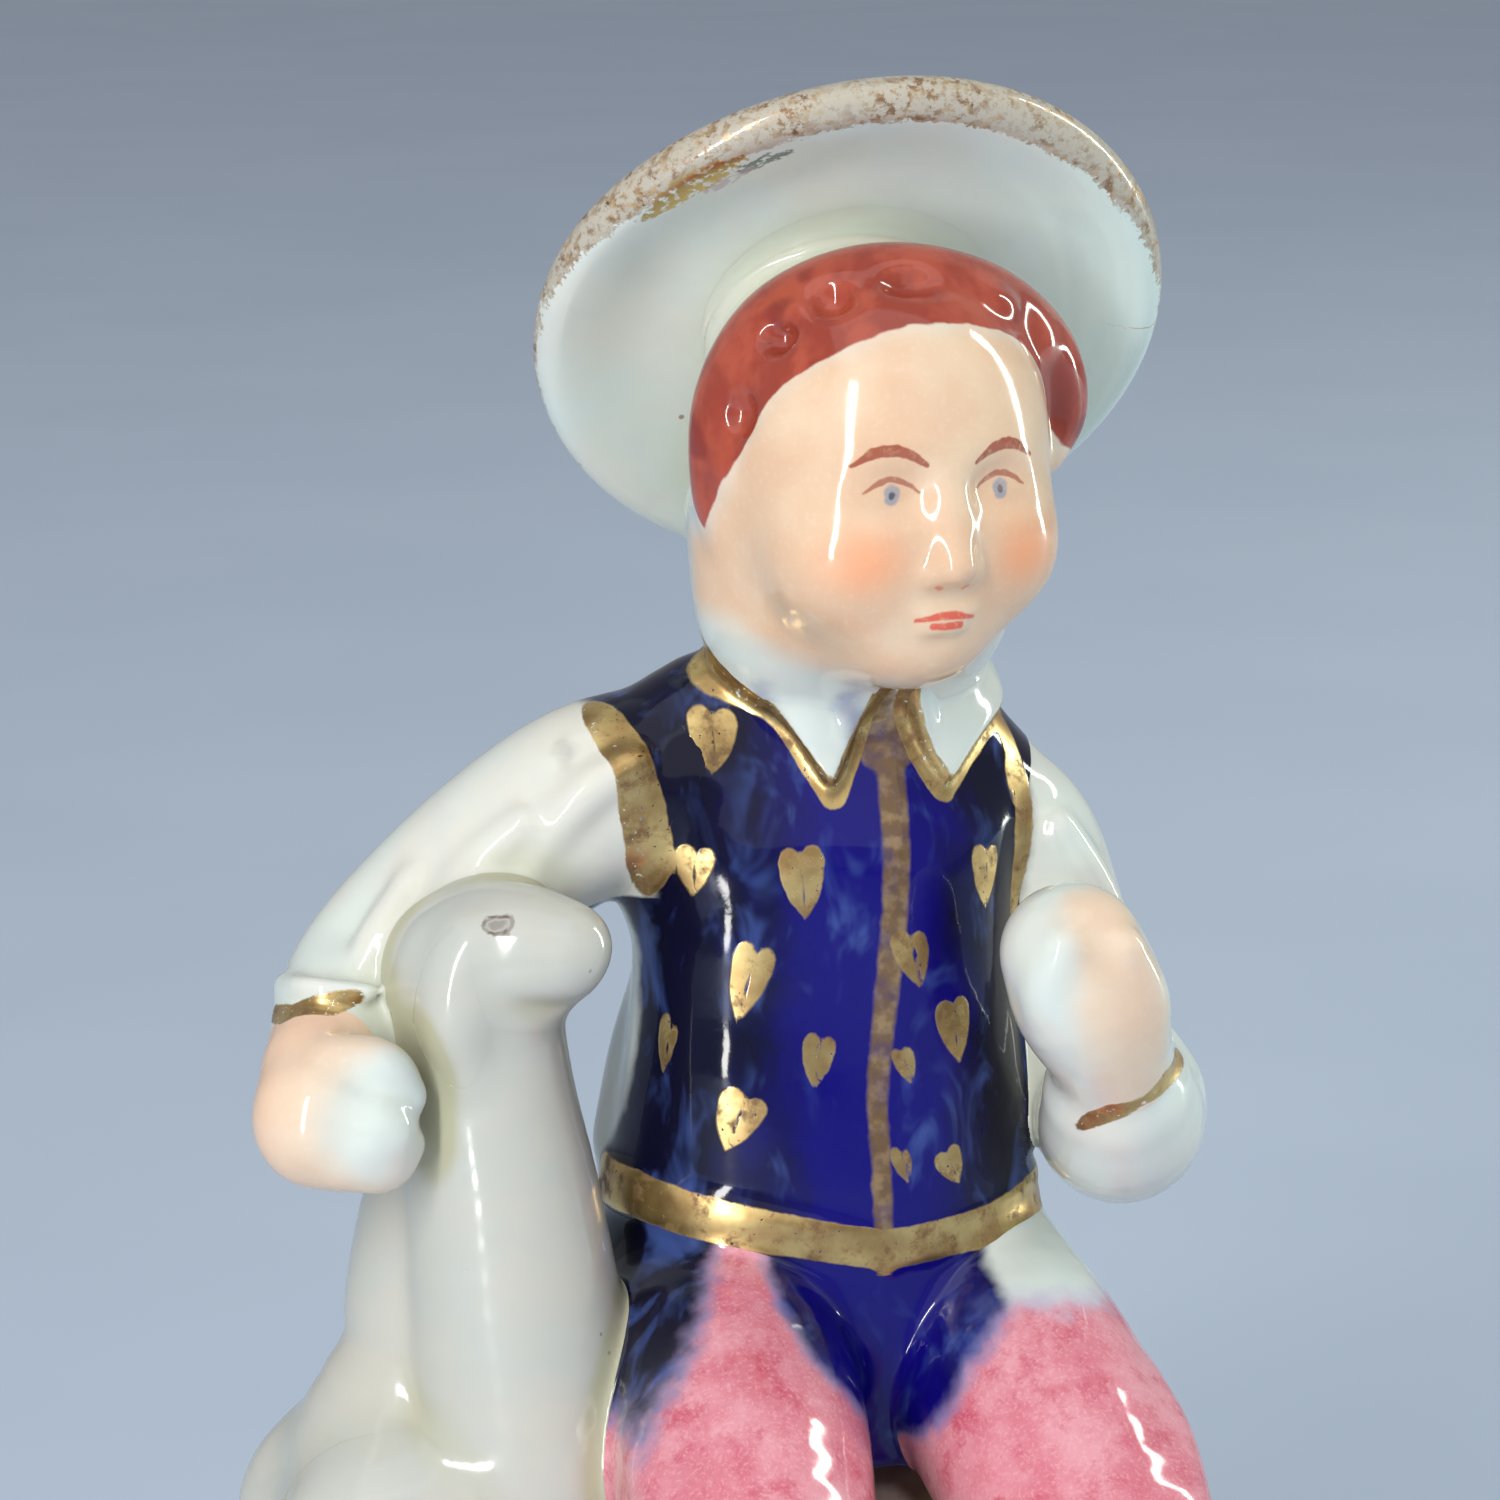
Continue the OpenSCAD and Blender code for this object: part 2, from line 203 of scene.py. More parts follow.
def loft(stations, k=1.0, edge=1.0, relief=None):
    """An upright form of oval sections (z, centre x, centre y, half width, half depth)."""
    rows = spline(sorted(stations), 8)
    z0, z1 = rows[0, 0], rows[-1, 0]

    def dist(x, y, z):
        cx, cy, rx, ry = (np.interp(z, rows[:, 0], rows[:, i]).astype(np.float32) for i in range(1, 5))
        u, v = x - cx, y - cy
        k0 = np.sqrt((u / rx) ** 2 + (v / ry) ** 2 + 1e-8)
        k1 = np.sqrt((u / rx ** 2) ** 2 + (v / ry ** 2) ** 2 + 1e-8)
        side = k0 * (k0 - 1.0) / k1
        if relief is not None:
            side = side - relief(u, v, z)
        return smax(side, np.abs(z - (z0 + z1) / 2) - (z1 - z0) / 2, edge)
    widest = rows[:, 3:].max(axis=0) + 1
    lo = np.array([*(rows[:, 1:3].min(axis=0) - widest), z0])
    hi = np.array([*(rows[:, 1:3].max(axis=0) + widest), z1])
    return Solid([(lo, hi, dist)], k)


TABLE = np.random.default_rng(41).random((32, 32, 32)).astype(np.float32)


def grain(x, y, z, size, seed=0):
    """Smooth random swell, 0 to 1, of about the given size in millimetres."""
    parts = []
    for value, shift in zip((x, y, z), (3.7, 11.3, 19.9)):
        v = value / size + shift + seed * 7.3
        i = np.floor(v).astype(int)
        f = v - i
        parts.append((i, f * f * (3 - 2 * f)))
    (ix, fx), (iy, fy), (iz, fz) = parts
    total = 0.0
    for dx in (0, 1):
        for dy in (0, 1):
            for dz in (0, 1):
                share = (fx if dx else 1 - fx) * (fy if dy else 1 - fy) * (fz if dz else 1 - fz)
                total = total + share * TABLE[(ix + dx) % 32, (iy + dy) % 32, (iz + dz) % 32]
    return total


# ---------------------------------------------------------------- cutting out the meshes

def level(field, times):
    """Evens the surface out, as a glaze does."""
    for _ in range(times):
        for axis in range(3):
            f = np.moveaxis(field, axis, 0)
            new = f.copy()
            new[1:-1] = 0.25 * f[:-2] + 0.5 * f[1:-1] + 0.25 * f[2:]
            field = np.moveaxis(new, 0, axis)
    return np.ascontiguousarray(field)


def slope(field, idx, step):
    """Gradient of a field at lattice nodes."""
    out = np.empty((len(idx), 3))
    for axis in range(3):
        up, down = idx.copy(), idx.copy()
        up[:, axis] = np.minimum(up[:, axis] + 1, field.shape[axis] - 1)
        down[:, axis] = np.maximum(down[:, axis] - 1, 0)
        run = (up[:, axis] - down[:, axis]) * step
        out[:, axis] = (field[tuple(up.T)] - field[tuple(down.T)]) / run
    return out


def between(field, where, what):
    """Trilinear value of what(field, nodes) at places in node units."""
    base = np.clip(np.floor(where).astype(int), 0, np.array(field.shape) - 2)
    f = where - base
    total = 0.0
    for corner in range(8):
        step = np.array([corner >> 2 & 1, corner >> 1 & 1, corner & 1])
        share = np.prod(np.where(step, f, 1 - f), axis=1)
        value = what(field, base + step)
        total = total + (share[:, None] * value if value.ndim > 1 else share * value)
    return total


def largest(count, quads, least):
    """Marks the vertices of components with at least a number of vertices."""
    label = np.arange(count)
    a = quads.ravel()
    b = np.roll(quads, 1, axis=1).ravel()
    while True:
        low = label.copy()
        np.minimum.at(low, a, label[b])
        np.minimum.at(low, b, label[a])
        low = low[low]
        if (low == label).all():
            break
        label = low
    return np.bincount(label, minlength=count)[label] >= least


def cut_out(skin, seam, grid):
    """Dual contour of the region where both fields are negative: points, normals, quads."""
    step = grid.step
    solid = np.maximum(skin, seam) < 0
    cells, places, normals, quads, on_skin = [], [], [], [], []
    for axis in range(3):
        near = [slice(None)] * 3
        near[axis] = slice(0, -1)
        away = [slice(None)] * 3
        away[axis] = slice(1, None)
        low = np.argwhere(solid[tuple(near)] != solid[tuple(away)])
        low = low[((low > 0) & (low < grid.count - 2)).all(axis=1)]
        high = low.copy()
        high[:, axis] += 1
        first = solid[tuple(low.T)]
        ins = np.where(first[:, None], low, high)
        out = np.where(first[:, None], high, low)
        shares = []
        for f in (skin, seam):
            fi, fo = f[tuple(ins.T)], f[tuple(out.T)]
            shares.append(np.where(fo >= 0, fi / np.minimum(fi - fo, -1e-9), 2.0))
        by_seam = shares[1] < shares[0]
        s = np.clip(np.minimum(*shares), 0, 1)[:, None]
        place = ins + s * (out - ins)
        normal = np.empty_like(place)
        for f, rows in ((skin, ~by_seam), (seam, by_seam)):
            normal[rows] = (1 - s[rows]) * slope(f, ins[rows], step) + s[rows] * slope(f, out[rows], step)
        normal /= np.maximum(np.linalg.norm(normal, axis=1), 1e-9)[:, None]
        b, c = (axis + 1) % 3, (axis + 2) % 3
        ring = []
        for db, dc in ((-1, -1), (0, -1), (0, 0), (-1, 0)):
            cell = low.copy()
            cell[:, b] += db
            cell[:, c] += dc
            ring.append(cell @ np.array([grid.count[1] * grid.count[2], grid.count[2], 1]))
        ring = np.stack(ring, axis=1)
        quads.append(np.where(first[:, None], ring, ring[:, ::-1]))
        for i in range(4):
            cells.append(ring[:, i])
            places.append(place)
            normals.append(normal)
            on_skin.append(~by_seam)
    ids, cell = np.unique(np.concatenate(cells), return_inverse=True)
    place, normal = np.concatenate(places), np.concatenate(normals)
    n = len(ids)
    total = np.bincount(cell, minlength=n)
    mean = np.stack([np.bincount(cell, place[:, i], n) for i in range(3)], axis=1) / total[:, None]
    offset = np.einsum("ij,ij->i", normal, place - mean[cell])
    ata = np.empty((n, 3, 3))
    for i in range(3):
        for j in range(i, 3):
            ata[:, i, j] = ata[:, j, i] = np.bincount(cell, normal[:, i] * normal[:, j], n)
    atb = np.stack([np.bincount(cell, normal[:, i] * offset, n) for i in range(3)], axis=1)
    ata += np.eye(3) * 0.05
    where = mean + np.linalg.solve(ata, atb[:, :, None])[:, :, 0]
    corner = np.stack(np.unravel_index(ids, grid.count), axis=1)
    where = np.clip(where, corner, corner + 1)
    face = np.searchsorted(ids, np.concatenate(quads))
    outer = np.bincount(cell, np.concatenate(on_skin), n) > 0
    only = np.bincount(cell, ~np.concatenate(on_skin), n) == 0
    # small steps put the points exactly on the skin, and those of a seam on both faces
    for turn in range(6):
        for f, rows in ((skin, outer), (seam, outer & ~only)):
            if turn > 1 and f is skin:
                rows = rows & ~only
            value = between(f, where[rows], lambda f, i: f[tuple(i.T)])
            run = between(f, where[rows], lambda f, i: slope(f, i, step))
            move = (value / np.maximum((run ** 2).sum(axis=1), 1e-3))[:, None] * run / step
            where[rows] = np.clip(where[rows] - np.clip(move, -0.4, 0.4), corner[rows] - 0.3, corner[rows] + 1.3)
    normal = np.empty((n, 3))
    normal[outer] = between(skin, where[outer], lambda f, i: slope(f, i, step))
    normal[~outer] = between(seam, where[~outer], lambda f, i: slope(f, i, step))
    normal /= np.maximum(np.linalg.norm(normal, axis=1), 1e-9)[:, None]
    probe = where + normal * (1.2 / step)
    hollow = np.clip(1.2 - between(skin, probe, lambda f, i: f[tuple(i.T)]), -1, 1.2)
    keep = largest(n, face, 60)
    new = np.cumsum(keep) - 1
    face = new[face[keep[face].all(axis=1)]]
    points = (where + grid.first) * step
    return points[keep], normal[keep], face, hollow[keep]


PIECES = {}           # name -> Piece, in the order in which they are joined


class Piece:
    """One cast piece: its form, how softly it joins the others, and its painter."""

    def __init__(self, name, solids, mark, k=0.8, step=None, shape=None, box=None, painter=None, zero=(0, 0, 0)):
        self.name, self.solids, self.k, self.shape = name, solids, k, shape
        self.step = step or PLAIN
        self.painter = painter
        self.zero = np.asarray(zero, float)
        if box is None:
            whole = [s for s in solids if not s.cut]
            box = (np.min([s.lo for s in whole], axis=0), np.max([s.hi for s in whole], axis=0))
        self.lo, self.hi = np.asarray(box[0], float), np.asarray(box[1], float)
        low, high = (np.array(c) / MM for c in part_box(name))
        self.shift = np.array([(low[0] + high[0]) / 2, (low[1] + high[1]) / 2, low[2]]) - mark
        PIECES[name] = self

    def onto(self, grid):
        """Its distance on a grid, FAR out of its reach."""
        out = grid.filled()
        found = grid.part(self.lo - REACH, self.hi + REACH)
        if found is not None:
            block, sub = found
            near = sub.filled()
            for solid in self.solids:
                solid.onto(near, sub)
            if self.shape is not None:
                near = self.shape(near, sub)
            out[block] = near
        return out

    def mesh(self):
        grid = Grid.round(self.lo - 1.6, self.hi + 1.6, self.step)
        own = self.onto(grid)
        skin, others = grid.filled(), grid.filled()
        for piece in PIECES.values():
            reach = REACH + 2
            if (piece.lo - reach > self.hi).any() or (piece.hi + reach < self.lo).any():
                continue
            value = own if piece is self else piece.onto(grid)
            skin = smin(skin, value, piece.k)
            if piece is not self:
                others = np.minimum(others, value)
        skin = level(skin, max(1, round(SPREAD / (0.5 * self.step ** 2))))
        lap = 0.02 + 0.3 * np.clip((-skin - 0.1) / 0.3, 0, 1)      # the pieces overlap a little inside the wall
        return cut_out(skin, own - others - lap, grid)


def build(piece, material):
    """Makes the Blender object of one piece and hands it to the frame."""
    points, normals, faces, hollow = piece.mesh()
    mesh = bpy.data.meshes.new(piece.name)
    mesh.vertices.add(len(points))
    mesh.vertices.foreach_set("co", ((points + piece.shift) * MM).astype(np.float32).ravel())
    mesh.loops.add(faces.size)
    mesh.loops.foreach_set("vertex_index", faces.ravel().astype(np.int32))
    mesh.polygons.add(len(faces))
    mesh.polygons.foreach_set("loop_start", np.arange(0, faces.size, 4, dtype=np.int32))
    mesh.update(calc_edges=True)
    mesh.validate()
    mesh.shade_smooth()
    mesh.normals_split_custom_set_from_vertices(normals.tolist())
    marks = {"hollow": hollow}
    if piece.painter is not None:
        marks.update(piece.painter(points))
    for name, values in marks.items():
        layer = mesh.attributes.new(name, "FLOAT", "POINT")
        layer.data.foreach_set("value", np.asarray(values, np.float32))
    place = mesh.attributes.new("place", "FLOAT_VECTOR", "POINT")
    place.data.foreach_set("vector", (points - piece.zero).astype(np.float32).ravel())
    mesh.materials.append(material)
    shown = bpy.data.objects.new("glazed_" + piece.name, mesh)
    bpy.context.collection.objects.link(shown)
    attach(shown, "root")
    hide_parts(piece.name)
    return shown


# ---------------------------------------------------------------- the painter's marks

def stroke(p, points):
    """Distance to a brush stroke through (x, y, z, r)."""
    best = np.full(len(p), FAR)
    pts = np.asarray(points, float)
    for a, b in zip(pts[:-1], pts[1:]):
        run = b[:3] - a[:3]
        t = np.clip(((p - a[:3]) @ run) / max(run @ run, 1e-6), 0, 1)
        d = np.linalg.norm(p - a[:3] - t[:, None] * run, axis=1) - (a[3] + t * (b[3] - a[3]))
        best = np.minimum(best, d)
    return best


def inside(x, y, outline):
    """Signed distance to a flat outline, negative inside."""
    pts = np.asarray(outline, float)
    best = np.full(len(x), FAR)
    odd = np.zeros(len(x), bool)
    for (ax, ay), (bx, by) in zip(pts, np.roll(pts, -1, axis=0)):
        ex, ey = bx - ax, by - ay
        t = np.clip(((x - ax) * ex + (y - ay) * ey) / (ex * ex + ey * ey), 0, 1)
        best = np.minimum(best, np.hypot(x - ax - t * ex, y - ay - t * ey))
        if ay != by:
            odd ^= ((ay > y) != (by > y)) & (x < ax + (y - ay) / (by - ay) * ex)
    return np.where(odd, -best, best)


def line_through(value, rows):
    """Linear reading of a table of (at, value) rows."""
    rows = np.asarray(sorted(rows), float)
    return np.interp(value, rows[:, 0], rows[:, 1])


def round_angle(x, y, axis):
    """Degrees round an upright axis, 0 at the front (-Y), positive to +X."""
    return np.degrees(np.arctan2(x - axis[0], -(y - axis[1])))


# ---------------------------------------------------------------- mound

ROCK_BALLS = [
    ((-20, 10, 21), (8.5, 9, 12.5)), ((-11, 10.5, 24), (9, 8.5, 12)), ((-4.5, 9, 25), (10, 9, 12)),
    ((2, 8, 27), (11.4, 9.6, 12.6)), ((7, 8, 24), (11, 10, 12.5)), ((12, 8.5, 22), (10, 10, 12)),
    ((20.5, 7, 15), (8.5, 10, 11.5)),
    ((-19, 0, 17), (9.5, 9, 9.6)), ((-10, -0.5, 14), (9, 8.4, 9.5)), ((-4, -0.5, 15), (9, 8, 10)),
    ((3, -0.5, 17), (9, 8, 11)), ((9, -0.8, 15.5), (9.5, 8.5, 10.5)), ((15, -1, 14), (10.5, 9, 10.5)),
    ((-21, -4, 5), (8, 11, 8)), ((21.5, -2, 6), (8, 11, 8)),
    ((-18, 9, 6), (10, 10, 10)), ((-9, 11, 8), (11, 9.5, 12)), ((0, 12, 9), (13, 9, 14)),
    ((9, 10, 8), (11, 10, 12)), ((18, 8, 6), (10, 11, 10)),
    ((-20, 5, 23), (7.5, 8, 4)), ((-13, 4, 23), (5.5, 8, 4)), ((-16.5, 4.5, 23), (6.5, 8, 4)),
]
STEP_BALLS = [((x, -10.5, 4.2), (9, 9, 5.1)) for x in (-9, -2, 5, 12)]
PLINTH = (30.0, 22.0, 5.0)       # half width, half depth, height of the upright edge
RECESS_IN, RECESS_TOP = 3.0, 3.0


def oval(x, y, rx, ry):
    k0 = np.sqrt((x / rx) ** 2 + (y / ry) ** 2 + 1e-8)
    k1 = np.sqrt((x / rx ** 2) ** 2 + (y / ry ** 2) ** 2 + 1e-8)
    return k0 * (k0 - 1.0) / k1


def craggy(near, grid):
    """Ledges and lumps on the mound, its upright rim and the hollow under it."""
    x, y, z = grid.axes()
    lumps = (grain(x, y, z * 1.4, 6.5, 1) - 0.5) * 2.6 + (grain(x, y, z * 1.3, 2.8, 2) - 0.5) * 1.3
    cracks = np.abs(grain(x, y, z, 5.2, 3) - 0.5)
    lumps = lumps - 1.2 * np.clip(0.08 - cracks, 0, 1) / 0.08
    calm = np.clip((z - PLINTH[2]) / 3, 0, 1) * np.clip((38.5 - z) / 3, 0.15, 1)
    on_step = np.clip((-4 - y) / 3, 0, 1) * np.clip((12 - z) / 2, 0, 1)
    near = near + lumps * calm * (1 - 0.8 * on_step) * 0.6
    out = oval(x, y, PLINTH[0], PLINTH[1]) + 0 * z
    rim = smax(out, z - PLINTH[2], 1.6)
    near = smin(near, rim, 1.2)
    near = smax(near, out, 1.0)
    near = smax(near, -z, 0.5)
    hollow = smax(oval(x, y, PLINTH[0] - RECESS_IN, PLINTH[1] - RECESS_IN) + 0 * z, z - RECESS_TOP, 0.4)
    return smax(near, -hollow, 0.3)


Piece("rock_base", [ball(c, r, 3.0) for c, r in ROCK_BALLS + STEP_BALLS], (0, 0, 0), k=1.2, step=COARSE,
      shape=craggy, box=((-30, -22, 0), (30, 22, 40)))
Piece("rock_knob", [tube([[21.4, 9, 20, 5], [22.8, 9.4, 24, 3.8], [24.2, 10, 27.6, 2.5]], 1.5),
                    ball((22.4, 8.2, 26.4), (2.2, 2, 2.0), 1.2), ball((25.4, 11, 24.4), (2, 2.4, 2.2), 1.2)],
      (24.1, 9.7, 18.7), k=1.4)

TUFTS = [(-24.4, 12.4, 31), (-7, 18.4, 27), (10, 17.4, 25), (24.6, -5, 11), (-24, -10, 10)]


def tuft_balls():
    """Little beads of slip, as pressed through a sieve, round each tuft."""
    rng = np.random.default_rng(7)
    balls = []
    for centre in TUFTS:
        for _ in range(16):
            way = rng.normal(size=3)
            way /= np.linalg.norm(way)
            at = np.array(centre) + way * rng.uniform(0.8, 2.2) * (1.2, 1.0, 0.8)
            balls.append(ball(at, rng.uniform(0.7, 1.15), 0.4))
    return balls


def in_footprint(near, grid):
    x, y, z = grid.axes()
    return smax(near, oval(x, y, PLINTH[0], PLINTH[1]) + 0 * z, 0.6)


Piece("moss_tufts", tuft_balls(), (0.7, 4.2, 8.1), k=0.5, shape=in_footprint)

# ---------------------------------------------------------------- trunk

BODY_AXIS = (2.0, 6.0)
BELT_TOP = [(-180, 54.4), (-75, 54.3), (-43, 53.3), (5, 51.7), (44, 52.0), (66, 52.6), (180, 53)]
BELT_LOW = [(-180, 52.0), (-75, 51.9), (-43, 51.1), (0, 49.8), (5, 49.3), (10, 49.7), (44, 50.0), (66, 50.4),
            (180, 51)]


def belt_relief(u, v, z):
    """The girdle stands a little proud, and the vest swells over it."""
    turn = np.degrees(np.arctan2(u, -v))
    low, top = line_through(turn, BELT_LOW), line_through(turn, BELT_TOP)
    band = np.clip((z - low + 0.25) / 0.5, 0, 1) * np.clip((top - z + 0.25) / 0.5, 0, 1)
    return 0.28 * band


def vest_relief(u, v, z):
    """Girdle, the overlap of the front edges and two soft drag folds."""
    turn = np.degrees(np.arctan2(u, -v))
    front = np.clip(-v / 4, 0, 1)
    lap = 0.16 * np.clip((u - 0.5 + 0.4) / 0.8, 0, 1) * np.clip((6.0 - u) / 5, 0, 1) * front
    fold = 0.30 * np.sin(np.radians(turn * 3.4 + z * 5.0)) * np.clip((z - 54) / 6, 0, 1) * np.clip((74 - z) / 8, 0, 1)
    return belt_relief(u, v, z) + lap + fold


TORSO = [
    loft([(51.6, 2, 6, 11.4, 8.3), (57, 2.1, 5.9, 10.8, 7.9), (62, 2.2, 5.8, 10.2, 7.5), (67, 2.35, 5.7, 10.1, 7.3),
          (71, 2.5, 5.7, 10.3, 6.9), (74, 2.7, 5.9, 9.6, 6.0), (76.5, 3, 5.8, 7.6, 5.2), (79.4, 3.1, 5.2, 5.4, 4.6)],
         edge=0.8, relief=vest_relief),
    tube([[-1.4, 6, 76.6, 3.9], [-4.2, 6.2, 75.4, 4.2], [-5.6, 6.1, 72.6, 4.3], [-5.4, 6, 69.6, 3.6]], 2.0),
    tube([[7.0, 6, 75.6, 3.2], [9.4, 6, 73.4, 3.4], [9.8, 6, 70.6, 3.4]], 1.6),
    tube([[-4.4, 9.4, 70, 1.9], [-4.5, 9.4, 64, 1.9], [-5.9, 9.4, 59, 2.1], [-7.0, 9.2, 54.6, 2.0]], 1.5),
]
SKIRT = [
    loft([(38.6, 2.6, 6.2, 10.4, 7.4), (44, 2.4, 6.2, 11.8, 8.4), (48, 2.2, 6.3, 12, 8.6), (52.2, 2, 6.2, 11.2, 8.2)],
         edge=0.8, relief=belt_relief),
]

# degrees round the trunk, height, width, length, lean in degrees, how much the right lobe shrinks
HEART_SPOTS = [
    (-60, 70.0, 0.85, 1.05, 4, 0.3), (-25, 69.5, 1.05, 1.45, -6, 0.0), (48, 69.0, 0.95, 1.30, 4, 0.3),
    (-43, 64.5, 0.95, 1.65, 12, 0.2), (17, 65.5, 0.95, 1.30, -14, 0.7), (33, 61.5, 0.95, 1.35, -8, 0.1),
    (-68, 61.0, 0.60, 1.20, 6, 0.9), (-19, 60.5, 0.80, 1.10, 6, 0.3), (14, 60.0, 0.55, 0.80, -18, 0.3),
    (-45, 57.5, 1.15, 1.30, 18, 0.3), (12, 55.0, 0.55, 0.80, -14, 0.9), (31, 54.5, 0.80, 0.85, -26, 0.2),
]
SHOULDER_HEARTS = [((-4.9, 1.2, 76.3), 1.15, 1.30, 6, 0.1), ((11.0, 1.6, 73.3), 0.5, 1.0, 4, 0.6)]


def heart(u, w, wide, tall, lean, uneven):
    """Two tapering brush strokes that meet in a point."""
    a = math.radians(lean)
    u, w = (math.cos(a) * u - math.sin(a) * w) / wide, (math.cos(a) * w + math.sin(a) * u) / tall
    best = np.full(len(u), FAR)
    for side, size in ((-1, 1.0), (1, 1.0 - 0.75 * uneven)):
        ax, aw, ar = 0.50 * side, 0.42 + 0.22 * size, 0.56 * (0.4 + 0.6 * size)
        bx, bw, br = -0.04, -1.22, 0.07
        t = np.clip(((u - ax) * (bx - ax) + (w - aw) * (bw - aw)) / ((bx - ax) ** 2 + (bw - aw) ** 2), 0, 1)
        bow = 0.16 * side * np.sin(math.pi * t)
        d = np.hypot(u - ax - bow - t * (bx - ax), w - aw - t * (bw - aw)) - (ar + (br - ar) * t ** 1.3)
        best = np.minimum(best, d)
    return best * wide


COLLAR_AXIS = (3.1, 4.8)
COLLAR_R = [(-180, 81.5), (-140, 82), (-115, 82.0), (-90, 80.8), (-55, 77.9), (-40, 75.6), (-26, 73.7), (-16, 76.0),
            (-5, 78.4), (2, 80.5), (12, 84), (180, 84)]
COLLAR_L = [(-180, 84), (-2, 84), (8, 80.5), (15, 78.2), (26, 75.4), (35, 73.6), (50, 74.8), (65, 76.0), (91, 77.4),
            (110, 78.8), (140, 80.5), (180, 81.0)]


def collar_edge(p, table):
    """Signed distance below (+) or above (-) a collar's lower edge, along the surface."""
    turn = round_angle(p[:, 0], p[:, 1], COLLAR_AXIS)
    across = np.radians(turn) * 6.4
    rows = np.asarray(table, float)
    best = np.full(len(p), FAR)
    for (a0, z0), (a1, z1) in zip(rows[:-1], rows[1:]):
        u0, u1 = np.radians(a0) * 6.4, np.radians(a1) * 6.4
        t = np.clip(((across - u0) * (u1 - u0) + (p[:, 2] - z0) * (z1 - z0)) / ((u1 - u0) ** 2 + (z1 - z0) ** 2), 0, 1)
        best = np.minimum(best, np.hypot(across - u0 - t * (u1 - u0), p[:, 2] - z0 - t * (z1 - z0)))
    return np.where(p[:, 2] < line_through(turn, table), best, -best)


def knot_mark(p):
    """The gilt three-cornered knot where the collar's halves meet."""
    flat = p * (1, 0.3, 1)
    return stroke(flat, [(3.2, 0, 78.9, 0.5), (3.4, 0, 77.4, 1.2), (3.6, 0, 76.2, 1.7), (3.7, 0, 75.0, 0.8)])


def trim_marks(p):
    """Gilt edging on and just outside the collar."""
    right, left = collar_edge(p, COLLAR_R), collar_edge(p, COLLAR_L)
    turn = round_angle(p[:, 0], p[:, 1], COLLAR_AXIS)
    wide = 0.40 + 0.18 * grain(p[:, 0], p[:, 1], p[:, 2], 3.0, 5) + 0.5 * np.clip((-56 - turn) / 25, 0, 1)
    band = np.minimum(np.abs(right - 0.25), np.abs(left - 0.25)) - wide
    return np.where(np.minimum(right, left) > -1.2, band, FAR)


def armholes(p):
    """Gilt crescents where the vest meets the sleeves."""
    flat = p * (1, 0.45, 1)
    right = stroke(flat, [(-10.6, 2.6, 79.0, 0.6), (-10.0, 1.8, 77.8, 0.95), (-9.2, 1.0, 75.8, 1.1),
                          (-8.6, 0.9, 73.2, 1.2), (-8.0, 1.2, 70.4, 1.15), (-7.8, 1.9, 68.6, 0.55)])
    left = stroke(flat, [(9.6, 2.0, 78.0, 0.3), (11.0, 1.3, 75.4, 0.5), (11.6, 0.8, 72.4, 0.6), (11.4, 0.5, 69.4, 0.6),
                         (11.0, 0.8, 66.6, 0.35)])
    return right, left


def side_limit(p):
    """Beyond the painted front of the vest: the trunk's sides and back stay white."""
    x, y, z = p.T
    turn = round_angle(x, y, BODY_AXIS)
    radius = np.hypot(x - BODY_AXIS[0], y - BODY_AXIS[1])
    from_right = line_through(z, [(40, -96), (54, -96), (57, -86), (61, -82), (66, -84), (70, -92), (74, -100)])
    armline = line_through(z, [(60, -40), (67.2, -14), (68.4, -7.8), (70.5, -8.2), (73, -8.8), (75.8, -9.4),
                               (77.8, -10.2), (80, -11.0)])
    return np.maximum(np.maximum(from_right - turn, turn - 104) * radius * 0.01745, (armline - x) * 0.9)


def vest_marks(p):
    x, y, z = p.T
    turn = round_angle(x, y, BODY_AXIS)
    gold = np.full(len(p), FAR)
    for at, height, *form in HEART_SPOTS:
        a = math.radians(at)
        u = (x - BODY_AXIS[0]) * math.cos(a) + (y - BODY_AXIS[1]) * math.sin(a)
        ahead = (x - BODY_AXIS[0]) * math.sin(a) - (y - BODY_AXIS[1]) * math.cos(a)
        gold = np.where(ahead > 0, np.minimum(gold, heart(u, z - height, *form)), gold)
    for (hx, hy, hz), *form in SHOULDER_HEARTS:
        near = np.hypot(np.hypot(x - hx, y - hy), z - hz) < 3
        gold = np.where(near, np.minimum(gold, heart(x - hx, z - hz, *form)), gold)
    middle = line_through(z, [(49, 2.7), (58.3, 2.4), (68.3, 3.4), (75, 3.7), (80, 3.4)])
    half = line_through(z, [(49, 0.3), (50, 0.45), (58, 0.50), (66, 0.62), (75, 0.72)])
    placket = np.where((y < 4) & (z > 49.2), np.abs(x - middle) - half, FAR)
    low, top = line_through(turn, BELT_LOW), line_through(turn, BELT_TOP)
    limit = side_limit(p)
    belt = np.maximum(np.abs(z - (low + top) / 2) - (top - low) / 2, limit)
    gilt = np.minimum.reduce([gold, belt, trim_marks(p), *armholes(p)])
    return {"gold": gilt, "placket": np.minimum(placket, knot_mark(p)), "blue": limit}


def skirt_marks(p):
    marks = vest_marks(p)
    x, y, z = p.T
    marks["blue"] = np.maximum(marks["blue"], 0.8 * (x - line_through(z, [(38, 20), (47, 14), (50.4, 10.4), (53, 30)])))
    return marks


Piece("torso", TORSO, (1.8, 6.0, 52.0), k=0.4, painter=vest_marks)
Piece("coat_skirt", SKIRT, (2.2, 6.3, 37.4), k=0.5, painter=skirt_marks)

# ---------------------------------------------------------------- head

HEAD_AT = np.array((3.1, 0.8, 89.5))
TURN = math.radians(5)


